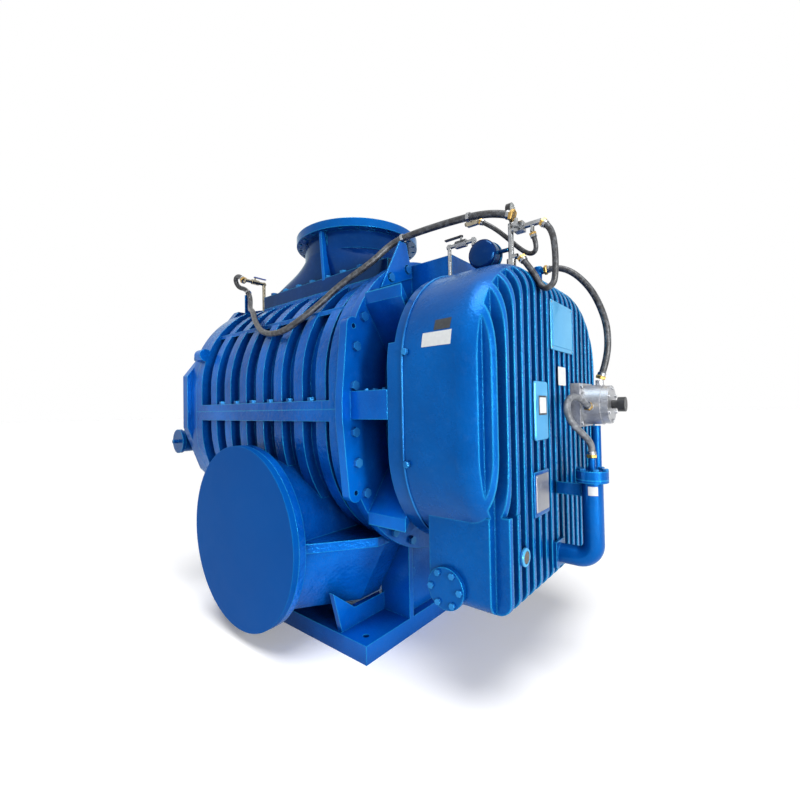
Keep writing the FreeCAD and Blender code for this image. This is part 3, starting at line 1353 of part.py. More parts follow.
def key_slot(body, name, start, end, shaft_radius):
    """A slot for a key along the top of the drive shaft."""
    sketch = new_sketch(body, name, "XY_Plane", d.axis_height + shaft_radius - d.key_sink)
    middle, half = d.axis_spacing / 2, d.key_width / 2
    rectangle(sketch, start, middle - half, end, middle + half)
    pocket(body, sketch, d.key_sink + d.key_rise)


def drive_shaft():
    body = shaft("drive_shaft", 1)
    y, z = d.axis_spacing / 2, d.axis_height
    start = drive_face - d.input_length
    seat = drive_face - d.seal_housing_length
    rod(body, "input_end", "YZ_Plane", start, seat - start, y, z, d.input_shaft)
    rod(body, "seal_seat", "YZ_Plane", seat, bearing_back - seat, y, z, d.seal_seat)
    rod(body, "pump_stub", "YZ_Plane", nut_end, adapter_end - nut_end, y, z, d.pump_shaft)
    rod(body, "pump_rotor", "YZ_Plane", adapter_end + d.running_gap,
        d.pump_length - d.running_gap * 2, y, z, d.pump_rotor)
    rod(body, "pump_stub_end", "YZ_Plane", adapter_end, d.running_gap, y, z, d.pump_shaft)
    key_slot(body, "coupling_key_slot", start, start + d.key_slot_length, d.input_shaft)
    key_slot(body, "gear_key_slot", gear_back, gear_end, d.gear_shaft)
    return body


def driven_shaft():
    return shaft("driven_shaft", -1)


def drive_shaft_key():
    """The key that carries the drive timing gear."""
    body = new_body("drive_shaft_key")
    low = d.axis_height + d.gear_shaft - d.key_sink
    half, y = d.key_width / 2, d.axis_spacing / 2
    block(body, "key", (gear_back, y - half, low), (gear_end, y + half, low + d.key_sink + d.key_rise))
    return body


# Depth of a tooth under and over the pitch circle, in modules, and its foot inside the disc
root_modules, tip_modules, root_overlap = 1.2, 0.9, 2


def timing_gear(label, side, offset):
    """A spur gear; every flank follows the involute of the base circle."""
    body = new_body(label)
    y, z = d.axis_spacing / 2 * side, d.axis_height
    teeth = int(d.gear_teeth.value)
    pitch = rotor_pitch_radius.value
    module = 2 * pitch / teeth
    press = math.radians(d.gear_pressure.value)
    base = pitch * math.cos(press)
    root, tip = pitch - root_modules * module, pitch + tip_modules * module
    half_angle = (math.pi * pitch / teeth - d.gear_backlash.value) / (2 * pitch)
    flare = math.tan(press) - press

    def flank(radius):
        local = math.acos(min(1, base / radius))
        return half_angle + flare - (math.tan(local) - local)

    root_z = rotor_pitch_radius * round(root / pitch, 6)
    rod(body, f"{label}_disc", "YZ_Plane", gear_back, d.gear_width, y, z, root_z, d.gear_shaft)
    radii = [base, (base + pitch) / 2, pitch, (pitch + tip) / 2, tip]
    inside_root = root - root_overlap
    corners = [(inside_root, flank(base))] + [(radius, flank(radius)) for radius in radii]
    corners += [(radius, -angle) for radius, angle in reversed(corners)]
    tooth = new_sketch(body, f"{label}_tooth", "YZ_Plane", gear_back)
    outline = []
    for radius, angle in corners:
        lean = angle + offset * math.pi / teeth
        outline.append((y + rotor_pitch_radius * round(radius / pitch * math.cos(lean), 7),
                        z + rotor_pitch_radius * round(radius / pitch * math.sin(lean), 7)))
    polygon(tooth, outline)
    tooth_pad = pad(body, tooth, d.gear_width)
    doc.recompute()
    axis = new_sketch(body, f"{label}_axis", "XY_Plane", z)
    line = axis.addGeometry(Part.LineSegment(spot(ZERO, y), spot(term(1), y)), False)
    axis.toggleConstruction(line)
    pin(axis, line, 1, ZERO, y)
    pin(axis, line, 2, term(1), y)
    axis.Visibility = False
    pattern = body.newObject("PartDesign::PolarPattern", f"{label}_teeth")
    pattern.Originals = [tooth_pad]
    pattern.Axis = (axis, ["Axis0"])
    pattern.Angle = 360
    bind(pattern, Occurrences=d.gear_teeth)
    body.Tip = pattern
    doc.recompute()
    return body


def drive_timing_gear():
    body = timing_gear("drive_timing_gear", 1, 0)
    key_slot(body, "gear_keyway", gear_back, gear_end, d.gear_shaft)
    return body


def driven_timing_gear():
    return timing_gear("driven_timing_gear", -1, 1)


def rings(label, places, outer, inner, width):
    """Plain rings along X, each a cylinder with its bore cut out."""
    made = []
    for number, (x, y) in enumerate(places):
        base = (x, y, d.axis_height)
        disc = drum(f"{label}_disc_{number}", base, (1, 0, 0), outer, width)
        hole = drum(f"{label}_hole_{number}", base, (1, 0, 0), inner, width)
        ring = doc.addObject("Part::Cut", f"{label}_{number}")
        ring.Base = disc
        ring.Tool = hole
        made.append(ring)
    return group(label, made)


bearing_front = case_back - d.bearing_width


def bearing_outer_rings():
    half = d.axis_spacing / 2
    places = [(x, half * side) for x in (bearing_back, bearing_front) for side in (1, -1)]
    return rings("bearing_outer_rings", places, d.bearing_radius, d.outer_ring, d.bearing_width)


def drive_bearing_inner_rings():
    places = [(x, d.axis_spacing / 2) for x in (bearing_back, bearing_front)]
    return rings("drive_bearing_inner_rings", places, d.inner_ring, d.seat_shaft, d.bearing_width)


def driven_bearing_inner_rings():
    places = [(x, -d.axis_spacing / 2) for x in (bearing_back, bearing_front)]
    return rings("driven_bearing_inner_rings", places, d.inner_ring, d.seat_shaft, d.bearing_width)


def bearing_rollers():
    """Rollers between the rings, clear of both by the seat gap."""
    count = int(d.roller_count.value)
    radius = (d.outer_ring - d.inner_ring) / 2 - d.seat_gap
    middle = (d.outer_ring + d.inner_ring) / 2
    made = []
    for x in (bearing_back, bearing_front):
        for side in (1, -1):
            for step in range(count):
                lean = 2 * math.pi * step / count
                y = d.axis_spacing / 2 * side + middle * round(math.cos(lean), 6)
                z = d.axis_height + middle * round(math.sin(lean), 6)
                name = f"roller_{len(made)}"
                made.append(drum(name, (x + d.bearing_lip, y, z), (1, 0, 0), radius,
                                 d.bearing_width - d.bearing_lip * 2))
    return group("bearing_rollers", made)


def shaft_seal_rings():
    half = d.axis_spacing / 2
    starts = (joint_back - d.seal_width - d.running_gap, joint_front + d.running_gap)
    places = [(x, half * side) for x in starts for side in (1, -1)]
    return rings("shaft_seal_rings", places, d.seal_radius, d.seat_shaft + d.fit_gap, d.seal_width)


def shaft_seal_housing():
    body = new_body("shaft_seal_housing")
    rod(body, "seal_housing", "YZ_Plane", drive_face - d.seal_housing_length, d.seal_housing_length,
        d.axis_spacing / 2, d.axis_height, d.seal_housing_radius, d.seal_seat + d.fit_gap)
    return body


# Bolt groups

def gear_end_bolts():
    face = joint_front + d.end_plate_thickness
    places = [(face, y, z) for y, z in plate_bolt_places()]
    return group("gear_end_bolts", bolts("gear_end_bolt", places, (1, 0, 0), LARGE))


def drive_end_bolts():
    places = [(drive_face, y, z) for y, z in cover_bolt_places()]
    return group("drive_end_bolts", bolts("drive_end_bolt", places, (-1, 0, 0), LARGE))


def hood_bolts():
    places = [(x, y, hood_plate_top) for x, y in hood_bolt_places()]
    return group("hood_bolts", bolts("hood_bolt", places, (0, 0, 1), LARGE))


def casing_split_bolts():
    top = d.axis_height + d.band_rise
    places = [(x, y, top) for x, y in split_bolt_places()]
    return group("casing_split_bolts", bolts("split_bolt", places, (0, 0, 1), LARGE))


lid_bolt_circle = d.lid_radius - d.small_head


def hatch_bolt_places():
    """Bolts of the sump hatch, as (x, z)."""
    return round_places(d.hatch_x, d.hatch_height, d.hatch_bolts, int(d.hatch_bolt_count.value))


def lid_bolt_places():
    """Bolts of the filter lid, as (x, y)."""
    return round_places(d.filter_x, -d.filter_y, lid_bolt_circle, int(d.hatch_bolt_count.value))


def small_bolts():
    """Small bolts of the sump hatch, of the filter lid and on the side shelves."""
    hatch_face = -d.sump_half_width - d.hatch_thickness
    lid_top = d.filter_top + d.lid_thickness
    made = bolts("hatch_bolt", [(x, hatch_face, z) for x, z in hatch_bolt_places()], (0, -1, 0), SMALL)
    made += bolts("lid_bolt", [(x, y, lid_top) for x, y in lid_bolt_places()], (0, 0, 1), SMALL)
    shelf = [(x, y, d.axis_height + d.shelf_rise) for x, y in shelf_bolt_places()]
    made += bolts("shelf_bolt", shelf, (0, 0, 1), SMALL)
    return group("small_bolts", made)


# Hatch, sight glass and oil cooler

def sump_hatch():
    body = new_body("sump_hatch")
    rod(body, "hatch", "XZ_Plane", -d.sump_half_width - d.hatch_thickness, d.hatch_thickness,
        d.hatch_x, d.hatch_height, d.hatch_radius)
    bore_row(body, "hatch_holes", "XZ_Plane", -d.sump_half_width - d.hatch_thickness,
             d.hatch_thickness, hatch_bolt_places(), small_hole)
    return body


def oil_sight_glass():
    body = new_body("oil_sight_glass")
    rod(body, "sight_glass", "YZ_Plane", cover_face - d.fin_depth, d.glass_length,
        d.fin_pitch / 2 - d.fin_pitch * 7, d.glass_height, d.glass_radius)
    return body


def oil_cooler():
    body = new_body("oil_cooler")
    x, z = -d.cooler_x, d.cooler_height
    rod(body, "cooler_shell", "XZ_Plane", -d.cooler_far, d.cooler_far - d.cooler_near, x, z,
        d.cooler_radius)
    rod(body, "cooler_cap", "XZ_Plane", -d.cooler_far - d.cooler_cap_length, d.cooler_cap_length, x, z,
        d.cooler_cap)
    rod(body, "cooler_nipple", "XZ_Plane",
        -d.cooler_far - d.cooler_cap_length - d.cooler_nipple_length, d.cooler_nipple_length, x, z,
        d.cooler_nipple)
    rod(body, "cooler_neck", "YZ_Plane", x, drive_face - x, -d.cooler_neck_y, z, d.cooler_neck)
    return body


# Oil pump with its relief knob

pump_y = d.axis_spacing / 2
spindle_start = pump_end + d.pump_cover_length


def oil_pump_adapter():
    body = new_body("oil_pump_adapter")
    block(body, "adapter", (cover_face, pump_y - d.pump_pad, d.axis_height - d.pump_pad),
          (adapter_end, pump_y + d.pump_pad, d.axis_height + d.pump_pad))
    bore_hole(body, "adapter_bore", "YZ_Plane", cover_face, d.adapter_length, pump_y, d.axis_height,
              d.pump_shaft + d.fit_gap)
    return body


def oil_pump_body():
    body = new_body("oil_pump_body")
    rod(body, "pump_shell", "YZ_Plane", adapter_end, d.pump_length, pump_y, d.axis_height,
        d.pump_radius)
    middle = adapter_end + d.pump_length / 2
    side = pump_y - d.pump_radius - d.pump_port_length / 2
    rod(body, "side_port", "XZ_Plane", side, d.pump_port_length, middle, 
        d.axis_height - d.pump_port_drop, d.pump_port)
    rod(body, "top_port", "XY_Plane", d.axis_height + d.pump_radius - d.pump_port_length / 2,
        d.top_port_length, middle + d.top_port_shift, pump_y, d.pump_port)
    bore_hole(body, "pump_room", "YZ_Plane", adapter_end, d.pump_length, pump_y, d.axis_height,
              d.pump_rotor + d.seat_gap)
    return body


def oil_pump_cover():
    body = new_body("oil_pump_cover")
    rod(body, "pump_cover", "YZ_Plane", pump_end, d.pump_cover_length, pump_y, d.axis_height,
        d.pump_cover_radius)
    rod(body, "spindle", "YZ_Plane", spindle_start, d.spindle_length, pump_y, d.axis_height, d.spindle)
    return body


def relief_knob():
    body = new_body("relief_knob")
    start = spindle_start + d.seat_gap
    rod(body, "knob_neck", "YZ_Plane", start, d.knob_neck_length, pump_y, d.axis_height, d.knob_neck)
    rod(body, "knob_head", "YZ_Plane", start + d.knob_neck_length, d.knob_length - d.knob_neck_length,
        pump_y, d.axis_height, d.knob_radius)
    bore_hole(body, "knob_bore", "YZ_Plane", start, d.spindle_length, pump_y, d.axis_height,
              d.spindle + d.fit_gap)
    return body


def riser_pipe():
    body = new_body("riser_pipe")
    middle = adapter_end + d.pump_length / 2
    top = d.axis_height - d.pump_radius - d.pump_port_length / 4
    over = d.riser_radius + d.seat_gap
    rod(body, "riser", "XY_Plane", d.riser_foot - over, top - d.riser_foot + over, middle, pump_y,
        d.riser_radius)
    rod(body, "riser_elbow", "YZ_Plane", cover_face, middle - cover_face + over, pump_y, d.riser_foot,
        d.riser_radius)
    rod(body, "riser_flange", "YZ_Plane", cover_face, d.flange_plate, pump_y, d.riser_foot,
        d.riser_flange)
    return body


# Oil filter

def oil_filter_bowl():
    """The bowl, with a bend at its foot that runs into the gear case."""
    body = new_body("oil_filter_bowl")
    x, y = d.filter_x, -d.filter_y
    run = d.filter_foot + d.filter_radius
    bend_top, bend_back = run + d.filter_bend, x - d.filter_bend
    rod(body, "bowl", "XY_Plane", bend_top, d.filter_top - bend_top, x, y, d.filter_radius)
    rod(body, "bowl_rim", "XY_Plane", d.filter_top - d.flange_plate, d.flange_plate, x, y,
        d.lid_radius)
    ring = new_sketch(body, "bend_ring", "XY_Plane", bend_top)
    circle(ring, x, y, d.filter_radius)
    axis = ring.addGeometry(Part.LineSegment(spot(bend_back, y), spot(bend_back, ZERO)), False)
    ring.toggleConstruction(axis)
    pin(ring, axis, 1, bend_back, y)
    pin(ring, axis, 2, bend_back, ZERO)
    bend = body.newObject("PartDesign::Revolution", "bend")
    bend.Profile = ring
    bend.ReferenceAxis = (ring, ["Axis0"])
    bend.Angle = 90
    bend.Reversed = False
    doc.recompute()
    rod(body, "bowl_run", "YZ_Plane", cover_face, bend_back - cover_face, y, run, d.filter_radius)
    block(body, "bowl_flange", (cover_face, y - d.filter_flange, run - d.filter_flange),
          (cover_face + d.flange_plate, y + d.filter_flange, run + d.filter_flange))
    return body


def oil_filter_lid():
    body = new_body("oil_filter_lid")
    x, y = d.filter_x, -d.filter_y
    rod(body, "lid", "XY_Plane", d.filter_top, d.lid_thickness, x, y, d.lid_radius)
    top = d.filter_top + d.lid_thickness
    rod(body, "lid_fitting", "XY_Plane", top, d.lid_fitting_top - top, x, y, d.lid_fitting)
    bore_row(body, "lid_holes", "XY_Plane", d.filter_top, d.lid_thickness, lid_bolt_places(),
             small_hole)
    return body


def filter_bracket():
    body = new_body("filter_bracket")
    half = d.bracket_plate / 2
    block(body, "filter_bracket", (cover_face, -d.filter_y - half, d.bracket_low),
          (d.filter_x - d.filter_radius, half - d.filter_y, d.bracket_high))
    return body


# Breather and pipes on top of the gear case

def oil_breather():
    body = new_body("oil_breather")
    x, z = d.breather_x, d.breather_height
    back = -d.breather_front + d.breather_length
    rod(body, "breather", "XZ_Plane", -d.breather_front, d.breather_length, x, z, d.breather_radius)
    rod(body, "breather_back", "XZ_Plane", back, d.breather_neck, x, z, d.breather_back)
    rod(body, "breather_neck", "XY_Plane", d.case_top + d.seat_gap, z - d.case_top - d.seat_gap, x,
        -d.breather_front + d.breather_length / 2, d.breather_neck)
    rod(body, "breather_pipe", "YZ_Plane", x, d.manifold_x - d.manifold_pipe - x, -d.manifold_y, z,
        d.vent_pipe)
    return body


def valve_body(body, name, role, at, x, y, stem_x, stem_y, stem_z):
    """A hexagon valve body with its stem upwards; the lever sits on the stem."""
    sketch = new_sketch(body, f"{name}_hexagon", role, at)
    polygon(sketch, round_places(x, y, d.valve_radius, 6))
    pad(body, sketch, d.valve_length)
    rise = d.valve_radius / 2
    rod(body, f"{name}_stem", "XY_Plane", stem_z + rise, d.stem_length + d.stem_tip + rise, stem_x,
        stem_y, d.stem_radius)


def valve_lever(label, x, y, z, way_x, way_y):
    """A flat lever with a hub that turns on the valve's stem."""
    body = new_body(label)
    base = z + d.valve_radius + d.stem_length + d.seat_gap
    rod(body, f"{label}_hub", "XY_Plane", base, d.lever_thickness, x, y, d.lever_hub)
    half = d.lever_width / 2
    if way_x:
        ends = sorted((term(x), x + d.lever_length * way_x), key=lambda end: end.value)
        low, high = (ends[0], y - half), (ends[1], y + half)
    else:
        ends = sorted((term(y), y + d.lever_length * way_y), key=lambda end: end.value)
        low, high = (x - half, ends[0]), (x + half, ends[1])
    block(body, f"{label}_blade", (*low, base), (*high, base + d.lever_thickness))
    bore_hole(body, f"{label}_bore", "XY_Plane", base, d.lever_thickness, x, y,
              d.stem_radius + d.fit_gap)
    return body


drain_valve_x = (d.drain_x + d.drain_end) / 2


def drain_valve():
    body = new_body("drain_valve")
    y, z = -d.drain_y, d.drain_height
    foot = d.case_top
    over = d.pipe_over
    rod(body, "drain_pipe", "XY_Plane", foot, z - foot + over, d.drain_x, y, d.vent_pipe)
    rod(body, "drain_run", "YZ_Plane", d.drain_x - over, d.drain_end - d.drain_x + over * 2, y, z,
        d.vent_pipe)
    low = d.breather_height + d.breather_radius - d.stem_radius * 2
    rod(body, "drain_drop", "XY_Plane", low, z - low + over, d.drain_end, y, d.vent_pipe)
    valve_body(body, "drain_valve", "YZ_Plane", drain_valve_x - d.valve_length / 2, y, z,
               drain_valve_x, y, z)
    return body


def drain_valve_lever():
    return valve_lever("drain_valve_lever", drain_valve_x, -d.drain_y, d.drain_height, -1, 0)


def top_valve():
    body = new_body("top_valve")
    x, y, z = d.top_valve_x, -d.top_valve_y, d.top_valve_height
    valve_body(body, "top_valve", "YZ_Plane", x - d.valve_length / 2, y, z, x, y, z)
    rod(body, "top_valve_end", "YZ_Plane", x - d.valve_length / 2 - d.nipple_length / 2,
        d.nipple_length, y, z, d.vent_pipe)
    rod(body, "top_valve_tab", "XZ_Plane", y - d.tab_length, d.tab_length, x, z, d.tab_radius)
    return body


def top_valve_lever():
    return valve_lever("top_valve_lever", d.top_valve_x, -d.top_valve_y, d.top_valve_height, -1, 0)


def back_valve():
    body = new_body("back_valve")
    x, z = -d.back_valve_x, d.back_valve_height
    over = d.manifold_pipe + d.seat_gap
    rod(body, "back_riser", "XY_Plane", casing_top, z - casing_top + over, x, -d.back_riser_y,
        d.manifold_pipe)
    rod(body, "back_run", "XZ_Plane", -d.back_turn_y - over, d.back_turn_y - d.back_riser_y + over * 2,
        x, z, d.manifold_pipe)
    rod(body, "back_stub", "YZ_Plane", x - d.back_stub, d.back_stub, -d.back_turn_y, z,
        d.manifold_pipe)
    valve_body(body, "back_valve", "XZ_Plane", -d.back_valve_y - d.valve_length / 2, x, z, x,
               -d.back_valve_y, z)
    return body


def back_valve_lever():
    return valve_lever("back_valve_lever", -d.back_valve_x, -d.back_valve_y, d.back_valve_height,
                       0, 1)


# Manifold with its pressure gauge

def manifold():
    body = new_body("manifold")
    x, y = d.manifold_x, -d.manifold_y
    rod(body, "post", "XY_Plane", d.case_top, d.manifold_top - d.case_top, x, y, d.manifold_pipe)
    rod(body, "post_foot", "XY_Plane", d.case_top, d.manifold_foot_height, x, y, d.manifold_foot)
    rod(body, "arm", "YZ_Plane", x, d.manifold_reach - x, y, d.manifold_arm, d.manifold_pipe)
    half = d.cross_half
    block(body, "cross", (d.cross_x - half, y - half, d.manifold_arm - half),
          (d.cross_x + half, y + half, d.manifold_arm + half))
    over = d.pipe_over
    rod(body, "branch", "XZ_Plane", y - d.branch_length - over, d.branch_length, d.cross_x,
        d.manifold_arm, d.vent_pipe)
    rod(body, "branch_riser", "XY_Plane", d.manifold_arm - over, d.branch_rise, d.cross_x,
        y - d.branch_length, d.vent_pipe)
    rod(body, "side_port", "YZ_Plane", x, d.side_port_length, y, d.side_port_height, d.manifold_pipe)
    rod(body, "under_port", "XY_Plane", d.manifold_arm - d.under_port_length, d.under_port_length,
        d.under_port_x, y, d.vent_pipe)
    rod(body, "gauge_stem", "XY_Plane", d.manifold_top, d.gauge_height - d.gauge_radius
        - d.manifold_top, x, y, d.stem_radius)
    return body


def gauge_case():
    body = new_body("gauge_case")
    y, z = -d.manifold_y, d.gauge_height
    back = d.manifold_x - d.gauge_depth / 2
    rod(body, "gauge_drum", "YZ_Plane", back, d.gauge_depth, y, z, d.gauge_radius)
    bore_hole(body, "dial", "YZ_Plane", back + d.gauge_depth - d.dial_depth, d.dial_depth, y, z,
              d.gauge_radius - d.gauge_rim)
    floor = back + d.gauge_depth - d.dial_depth
    rod(body, "pointer_pin", "YZ_Plane", floor - 1, d.dial_depth - d.gauge_glass - d.seat_gap, y, z,
        d.pointer_pin)
    return body


def gauge_pointer():
    body = new_body("gauge_pointer")
    y, z = -d.manifold_y, d.gauge_height
    floor = d.manifold_x + d.gauge_depth / 2 - d.dial_depth
    start = floor + d.seat_gap
    rod(body, "pointer_hub", "YZ_Plane", start, d.pointer_thickness, y, z, d.pointer_hub)
    needle = new_sketch(body, "needle", "YZ_Plane", start)
    polygon(needle, [(y - d.pointer_pin, z), (y + d.pointer_pin, z),
                     (y + d.pointer_pin / 4, z - d.pointer_length),
                     (y - d.pointer_pin / 4, z - d.pointer_length)])
    pad(body, needle, d.pointer_thickness)
    bore_hole(body, "pointer_bore", "YZ_Plane", start, d.pointer_thickness, y, z,
              d.pointer_pin + d.fit_gap)
    return body


def gauge_glass():
    body = new_body("gauge_glass")
    front = d.manifold_x + d.gauge_depth / 2
    rod(body, "glass", "YZ_Plane", front - d.gauge_glass, d.gauge_glass, -d.manifold_y,
        d.gauge_height, d.gauge_radius - d.gauge_rim)
    return body


# Hoses: straight runs joined by arcs, with a ferrule at each end

def route_points(label):
    """The route's points with both ends drawn in by the length of a ferrule."""
    count = sum(1 for route in ROUTES if route[0] == label for point in route[2])
    points = []
    for number in range(count):
        points.append(Vector(*[place.value for place in route_place(label, number)]))
    reach = sheet.get(f"{label}_diameter") * d.ferrule_length.value
    for end, after in ((0, 1), (-1, -2)):
        points[end] = points[end] + (points[after] - points[end]).normalize() * reach
    return points


bend_share = 0.45  # of the shorter run beside a bend, so that two bends never meet


def hose(label):
    """A plain tube of straight runs joined by tangent arcs."""
    points = route_points(label)
    radius = sheet.get(f"{label}_diameter") / 2
    edges, radii = [], []
    begin = points[0]
    for before, corner, after in zip(points, points[1:], points[2:]):
        into, out = (corner - before), (after - corner)
        run = min(into.Length, out.Length) * bend_share
        into.normalize()
        out.normalize()
        half_turn = into.getAngle(out) / 2
        bend = run / math.tan(half_turn)
        radii.append(round(bend / radius / 2, 1))
        first, last = corner - into * run, corner + out * run
        middle = corner + (out - into).normalize() * (bend / math.cos(half_turn) - bend)
        edges.append(Part.LineSegment(begin, first).toShape())
        edges.append(Part.Arc(first, middle, last).toShape())
        begin = last
    edges.append(Part.LineSegment(begin, points[-1]).toShape())
    path = Part.Wire(edges)
    ring = Part.Wire([Part.Circle(points[0], points[1] - points[0], radius).toShape()])
    tube = path.makePipeShell([ring], True, False)
    print(label, "length", round(path.Length), "mm, bends in diameters", radii)
    body = doc.addObject("Part::Feature", label)
    body.Label = label
    body.Shape = tube
    PARTS.append(body)
    return body


def hose_step(label):
    def step():
        return hose(label)
    step.__name__ = label
    return step


def hose_ferrules():
    """Crimped ferrules, one on each end of each hose."""
    made = []
    for label, diameter, points in ROUTES:
        inner = route_points(label)
        across_hose = cell(f"{label}_diameter")
        for number, (end, after) in enumerate(((0, 1), (-1, -2))):
            start = Vector(*[place.value for place in route_place(label, end % len(points))])
            ferrule = doc.addObject("Part::Cylinder", f"{label}_ferrule_{number}")
            bind(ferrule, Radius=across_hose / 2 + d.ferrule_wall,
                 Height=across_hose * d.ferrule_length)
            ferrule.Placement = Placement(start, facing(*(inner[after] - inner[end])))
            made.append(ferrule)
    return group("hose_ferrules", made)


CLIPS = (("drive_end_oil_hose", 4), ("drive_end_oil_hose", 15), ("drive_end_oil_hose", 2))


def clip_place(label, run):
    """The middle of one run of a hose, where the tube is straight, and the run's direction."""
    points = route_points(label)
    return (points[run] + points[run + 1]) / 2, (points[run + 1] - points[run]).normalize()


def hose_clips():
    """Ring clips round the hose at its brackets and at the valve that it carries."""
    body = doc.addObject("Part::Feature", "hose_clips")
    body.Label = "hose_clips"
    made = []
    for label, run in CLIPS:
        middle, way = clip_place(label, run)
        inner = sheet.get(f"{label}_diameter") / 2
        width = d.clip_width.value
        base = middle - way * (width / 2)
        ring = Part.makeCylinder(inner + d.clip_wall.value, width, base, way)
        made.append(ring.cut(Part.makeCylinder(inner, width, base, way)))
    body.Shape = Part.makeCompound(made)
    PARTS.append(body)
    return body


def clip_seat(clip):
    """Where a bracket meets its clip, as (y, z)."""
    middle, way = clip_place(*CLIPS[clip])
    across_hose = cell(f"{CLIPS[clip][0]}_diameter")
    return term(middle.y), term(middle.z) - across_hose / 2 - d.clip_wall - d.seat_gap


def front_hose_bracket():
    """A plate on the gear end plate, cut out round two bolt heads."""
    body = new_body("front_hose_bracket")
    face = joint_front + d.end_plate_thickness
    y, top = clip_seat(0)
    outline = new_sketch(body, "front_bracket_plate", "YZ_Plane", face)
    polygon(outline, [(-d.bracket_foot_out, d.front_bracket_low),
                      (-d.bracket_foot_in, d.front_bracket_high),
                      (y + d.bracket_half_width, top), (y - d.bracket_half_width, top)])
    pad(body, outline, d.bracket_plate)
    near_side = [bolt for bolt in plate_bolt_places() if bolt[0].value < 0]
    heads = sorted(near_side, key=lambda bolt: bolt[1].value)[-2:]
    bore_row(body, "head_holes", "YZ_Plane", face, d.bracket_plate, heads,
             d.bolt_head + d.head_clearance)
    return body


def back_hose_bracket():
    body = new_body("back_hose_bracket")
    y, top = clip_seat(1)
    block(body, "back_bracket_plate", (joint_back, y - d.bracket_half_width, d.back_bracket_low),
          (joint_back + d.bracket_plate, y + d.bracket_half_width, top))
    return body


STEPS = [base_frame, upper_casing, lower_casing, outlet_blank_plate, inlet_hood, inlet_flange,
         gear_end_plate, gear_case_wall, gear_cover, drive_end_plate, drive_end_cover,
         drive_rotor, driven_rotor, drive_shaft, driven_shaft, drive_shaft_key,
         drive_timing_gear, driven_timing_gear, bearing_outer_rings, drive_bearing_inner_rings,
         driven_bearing_inner_rings, bearing_rollers, shaft_seal_rings, shaft_seal_housing,
         gear_end_bolts, drive_end_bolts, hood_bolts, casing_split_bolts, small_bolts,
         sump_hatch, oil_sight_glass, oil_cooler, oil_pump_adapter, oil_pump_body,
         oil_pump_cover, relief_knob, riser_pipe, oil_filter_bowl, oil_filter_lid,
         filter_bracket, oil_breather, drain_valve, drain_valve_lever, top_valve,
         top_valve_lever, back_valve, back_valve_lever, manifold, gauge_case, gauge_pointer,
         gauge_glass]
STEPS += [hose_step(label) for label, diameter, points in ROUTES]
STEPS += [hose_ferrules, hose_clips, front_hose_bracket, back_hose_bracket]

for step in STEPS:
    step()
    doc.recompute()
for thing in doc.Objects:
    if "Invalid" in thing.State or "Error" in thing.State:
        raise RuntimeError(f"{thing.Name} did not recompute")
for piece in PARTS:
    if piece.Shape.isNull() or not piece.Shape.isValid():
        raise RuntimeError(f"{piece.Label} has no valid shape")
os.makedirs("parts", exist_ok=True)
for piece in PARTS:
    piece.Shape.exportStep(f"parts/{piece.Label}.step")
print(len(PARTS), "nodes written")
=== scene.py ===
import bpy
import math
from mathutils import Matrix, Vector
from mathutils.bvhtree import BVHTree

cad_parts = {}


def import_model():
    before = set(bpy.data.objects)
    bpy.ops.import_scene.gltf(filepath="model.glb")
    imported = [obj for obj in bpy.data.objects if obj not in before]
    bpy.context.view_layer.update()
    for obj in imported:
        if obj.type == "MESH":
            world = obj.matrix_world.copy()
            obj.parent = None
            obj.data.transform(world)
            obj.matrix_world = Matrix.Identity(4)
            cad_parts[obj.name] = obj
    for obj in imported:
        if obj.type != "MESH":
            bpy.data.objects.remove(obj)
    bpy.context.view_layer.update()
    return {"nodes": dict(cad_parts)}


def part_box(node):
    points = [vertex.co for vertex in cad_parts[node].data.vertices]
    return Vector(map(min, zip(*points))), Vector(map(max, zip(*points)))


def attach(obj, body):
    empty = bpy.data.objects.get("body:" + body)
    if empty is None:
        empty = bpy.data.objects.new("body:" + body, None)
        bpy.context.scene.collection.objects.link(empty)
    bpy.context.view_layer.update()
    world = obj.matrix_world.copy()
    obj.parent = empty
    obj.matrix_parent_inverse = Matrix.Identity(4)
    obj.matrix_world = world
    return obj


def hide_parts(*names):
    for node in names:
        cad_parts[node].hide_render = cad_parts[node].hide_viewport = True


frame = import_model()
nodes = frame["nodes"]
scene = bpy.context.scene
scene.view_settings.view_transform = "Standard"

# Camera: eye height of the photo, solved from the parallel edges of the machine
EYE = Vector((2.140, -2.130, 1.300))
LOOK = Vector((-0.6379, 0.7698, 0.0195)).normalized()
UP = Vector((0.02606, -0.0037, 0.99965))
LENS = 18.73
SENSOR_WIDTH = 36
NEAREST, FARTHEST = 0.05, 300


def make_camera():
    data = bpy.data.cameras.new("camera")
    data.lens = LENS
    data.sensor_width = SENSOR_WIDTH
    data.clip_start = NEAREST
    data.clip_end = FARTHEST
    camera = bpy.data.objects.new("camera", data)
    scene.collection.objects.link(camera)
    right = LOOK.cross(UP).normalized()
    up = right.cross(LOOK)
    turn = Matrix((right, up, -LOOK)).transposed().to_4x4()
    camera.matrix_world = Matrix.Translation(EYE) @ turn
    scene.camera = camera


make_camera()


# Materials

def linear(red, green, blue):
    """A colour as it is seen on screen, 0 to 255, as Blender's linear values."""
    values = []
    for level in (red, green, blue):
        level /= 255
        if level <= 0.04045:
            values.append(level / 12.92)
        else:
            values.append(((level + 0.055) / 1.055) ** 2.4)
    return (*values, 1)


def darker(colour, share):
    """The colour with its light cut to a share."""
    return (*(channel * share for channel in colour[:3]), 1)


# Rays that a corner or an edge is felt with
RAYS = 4


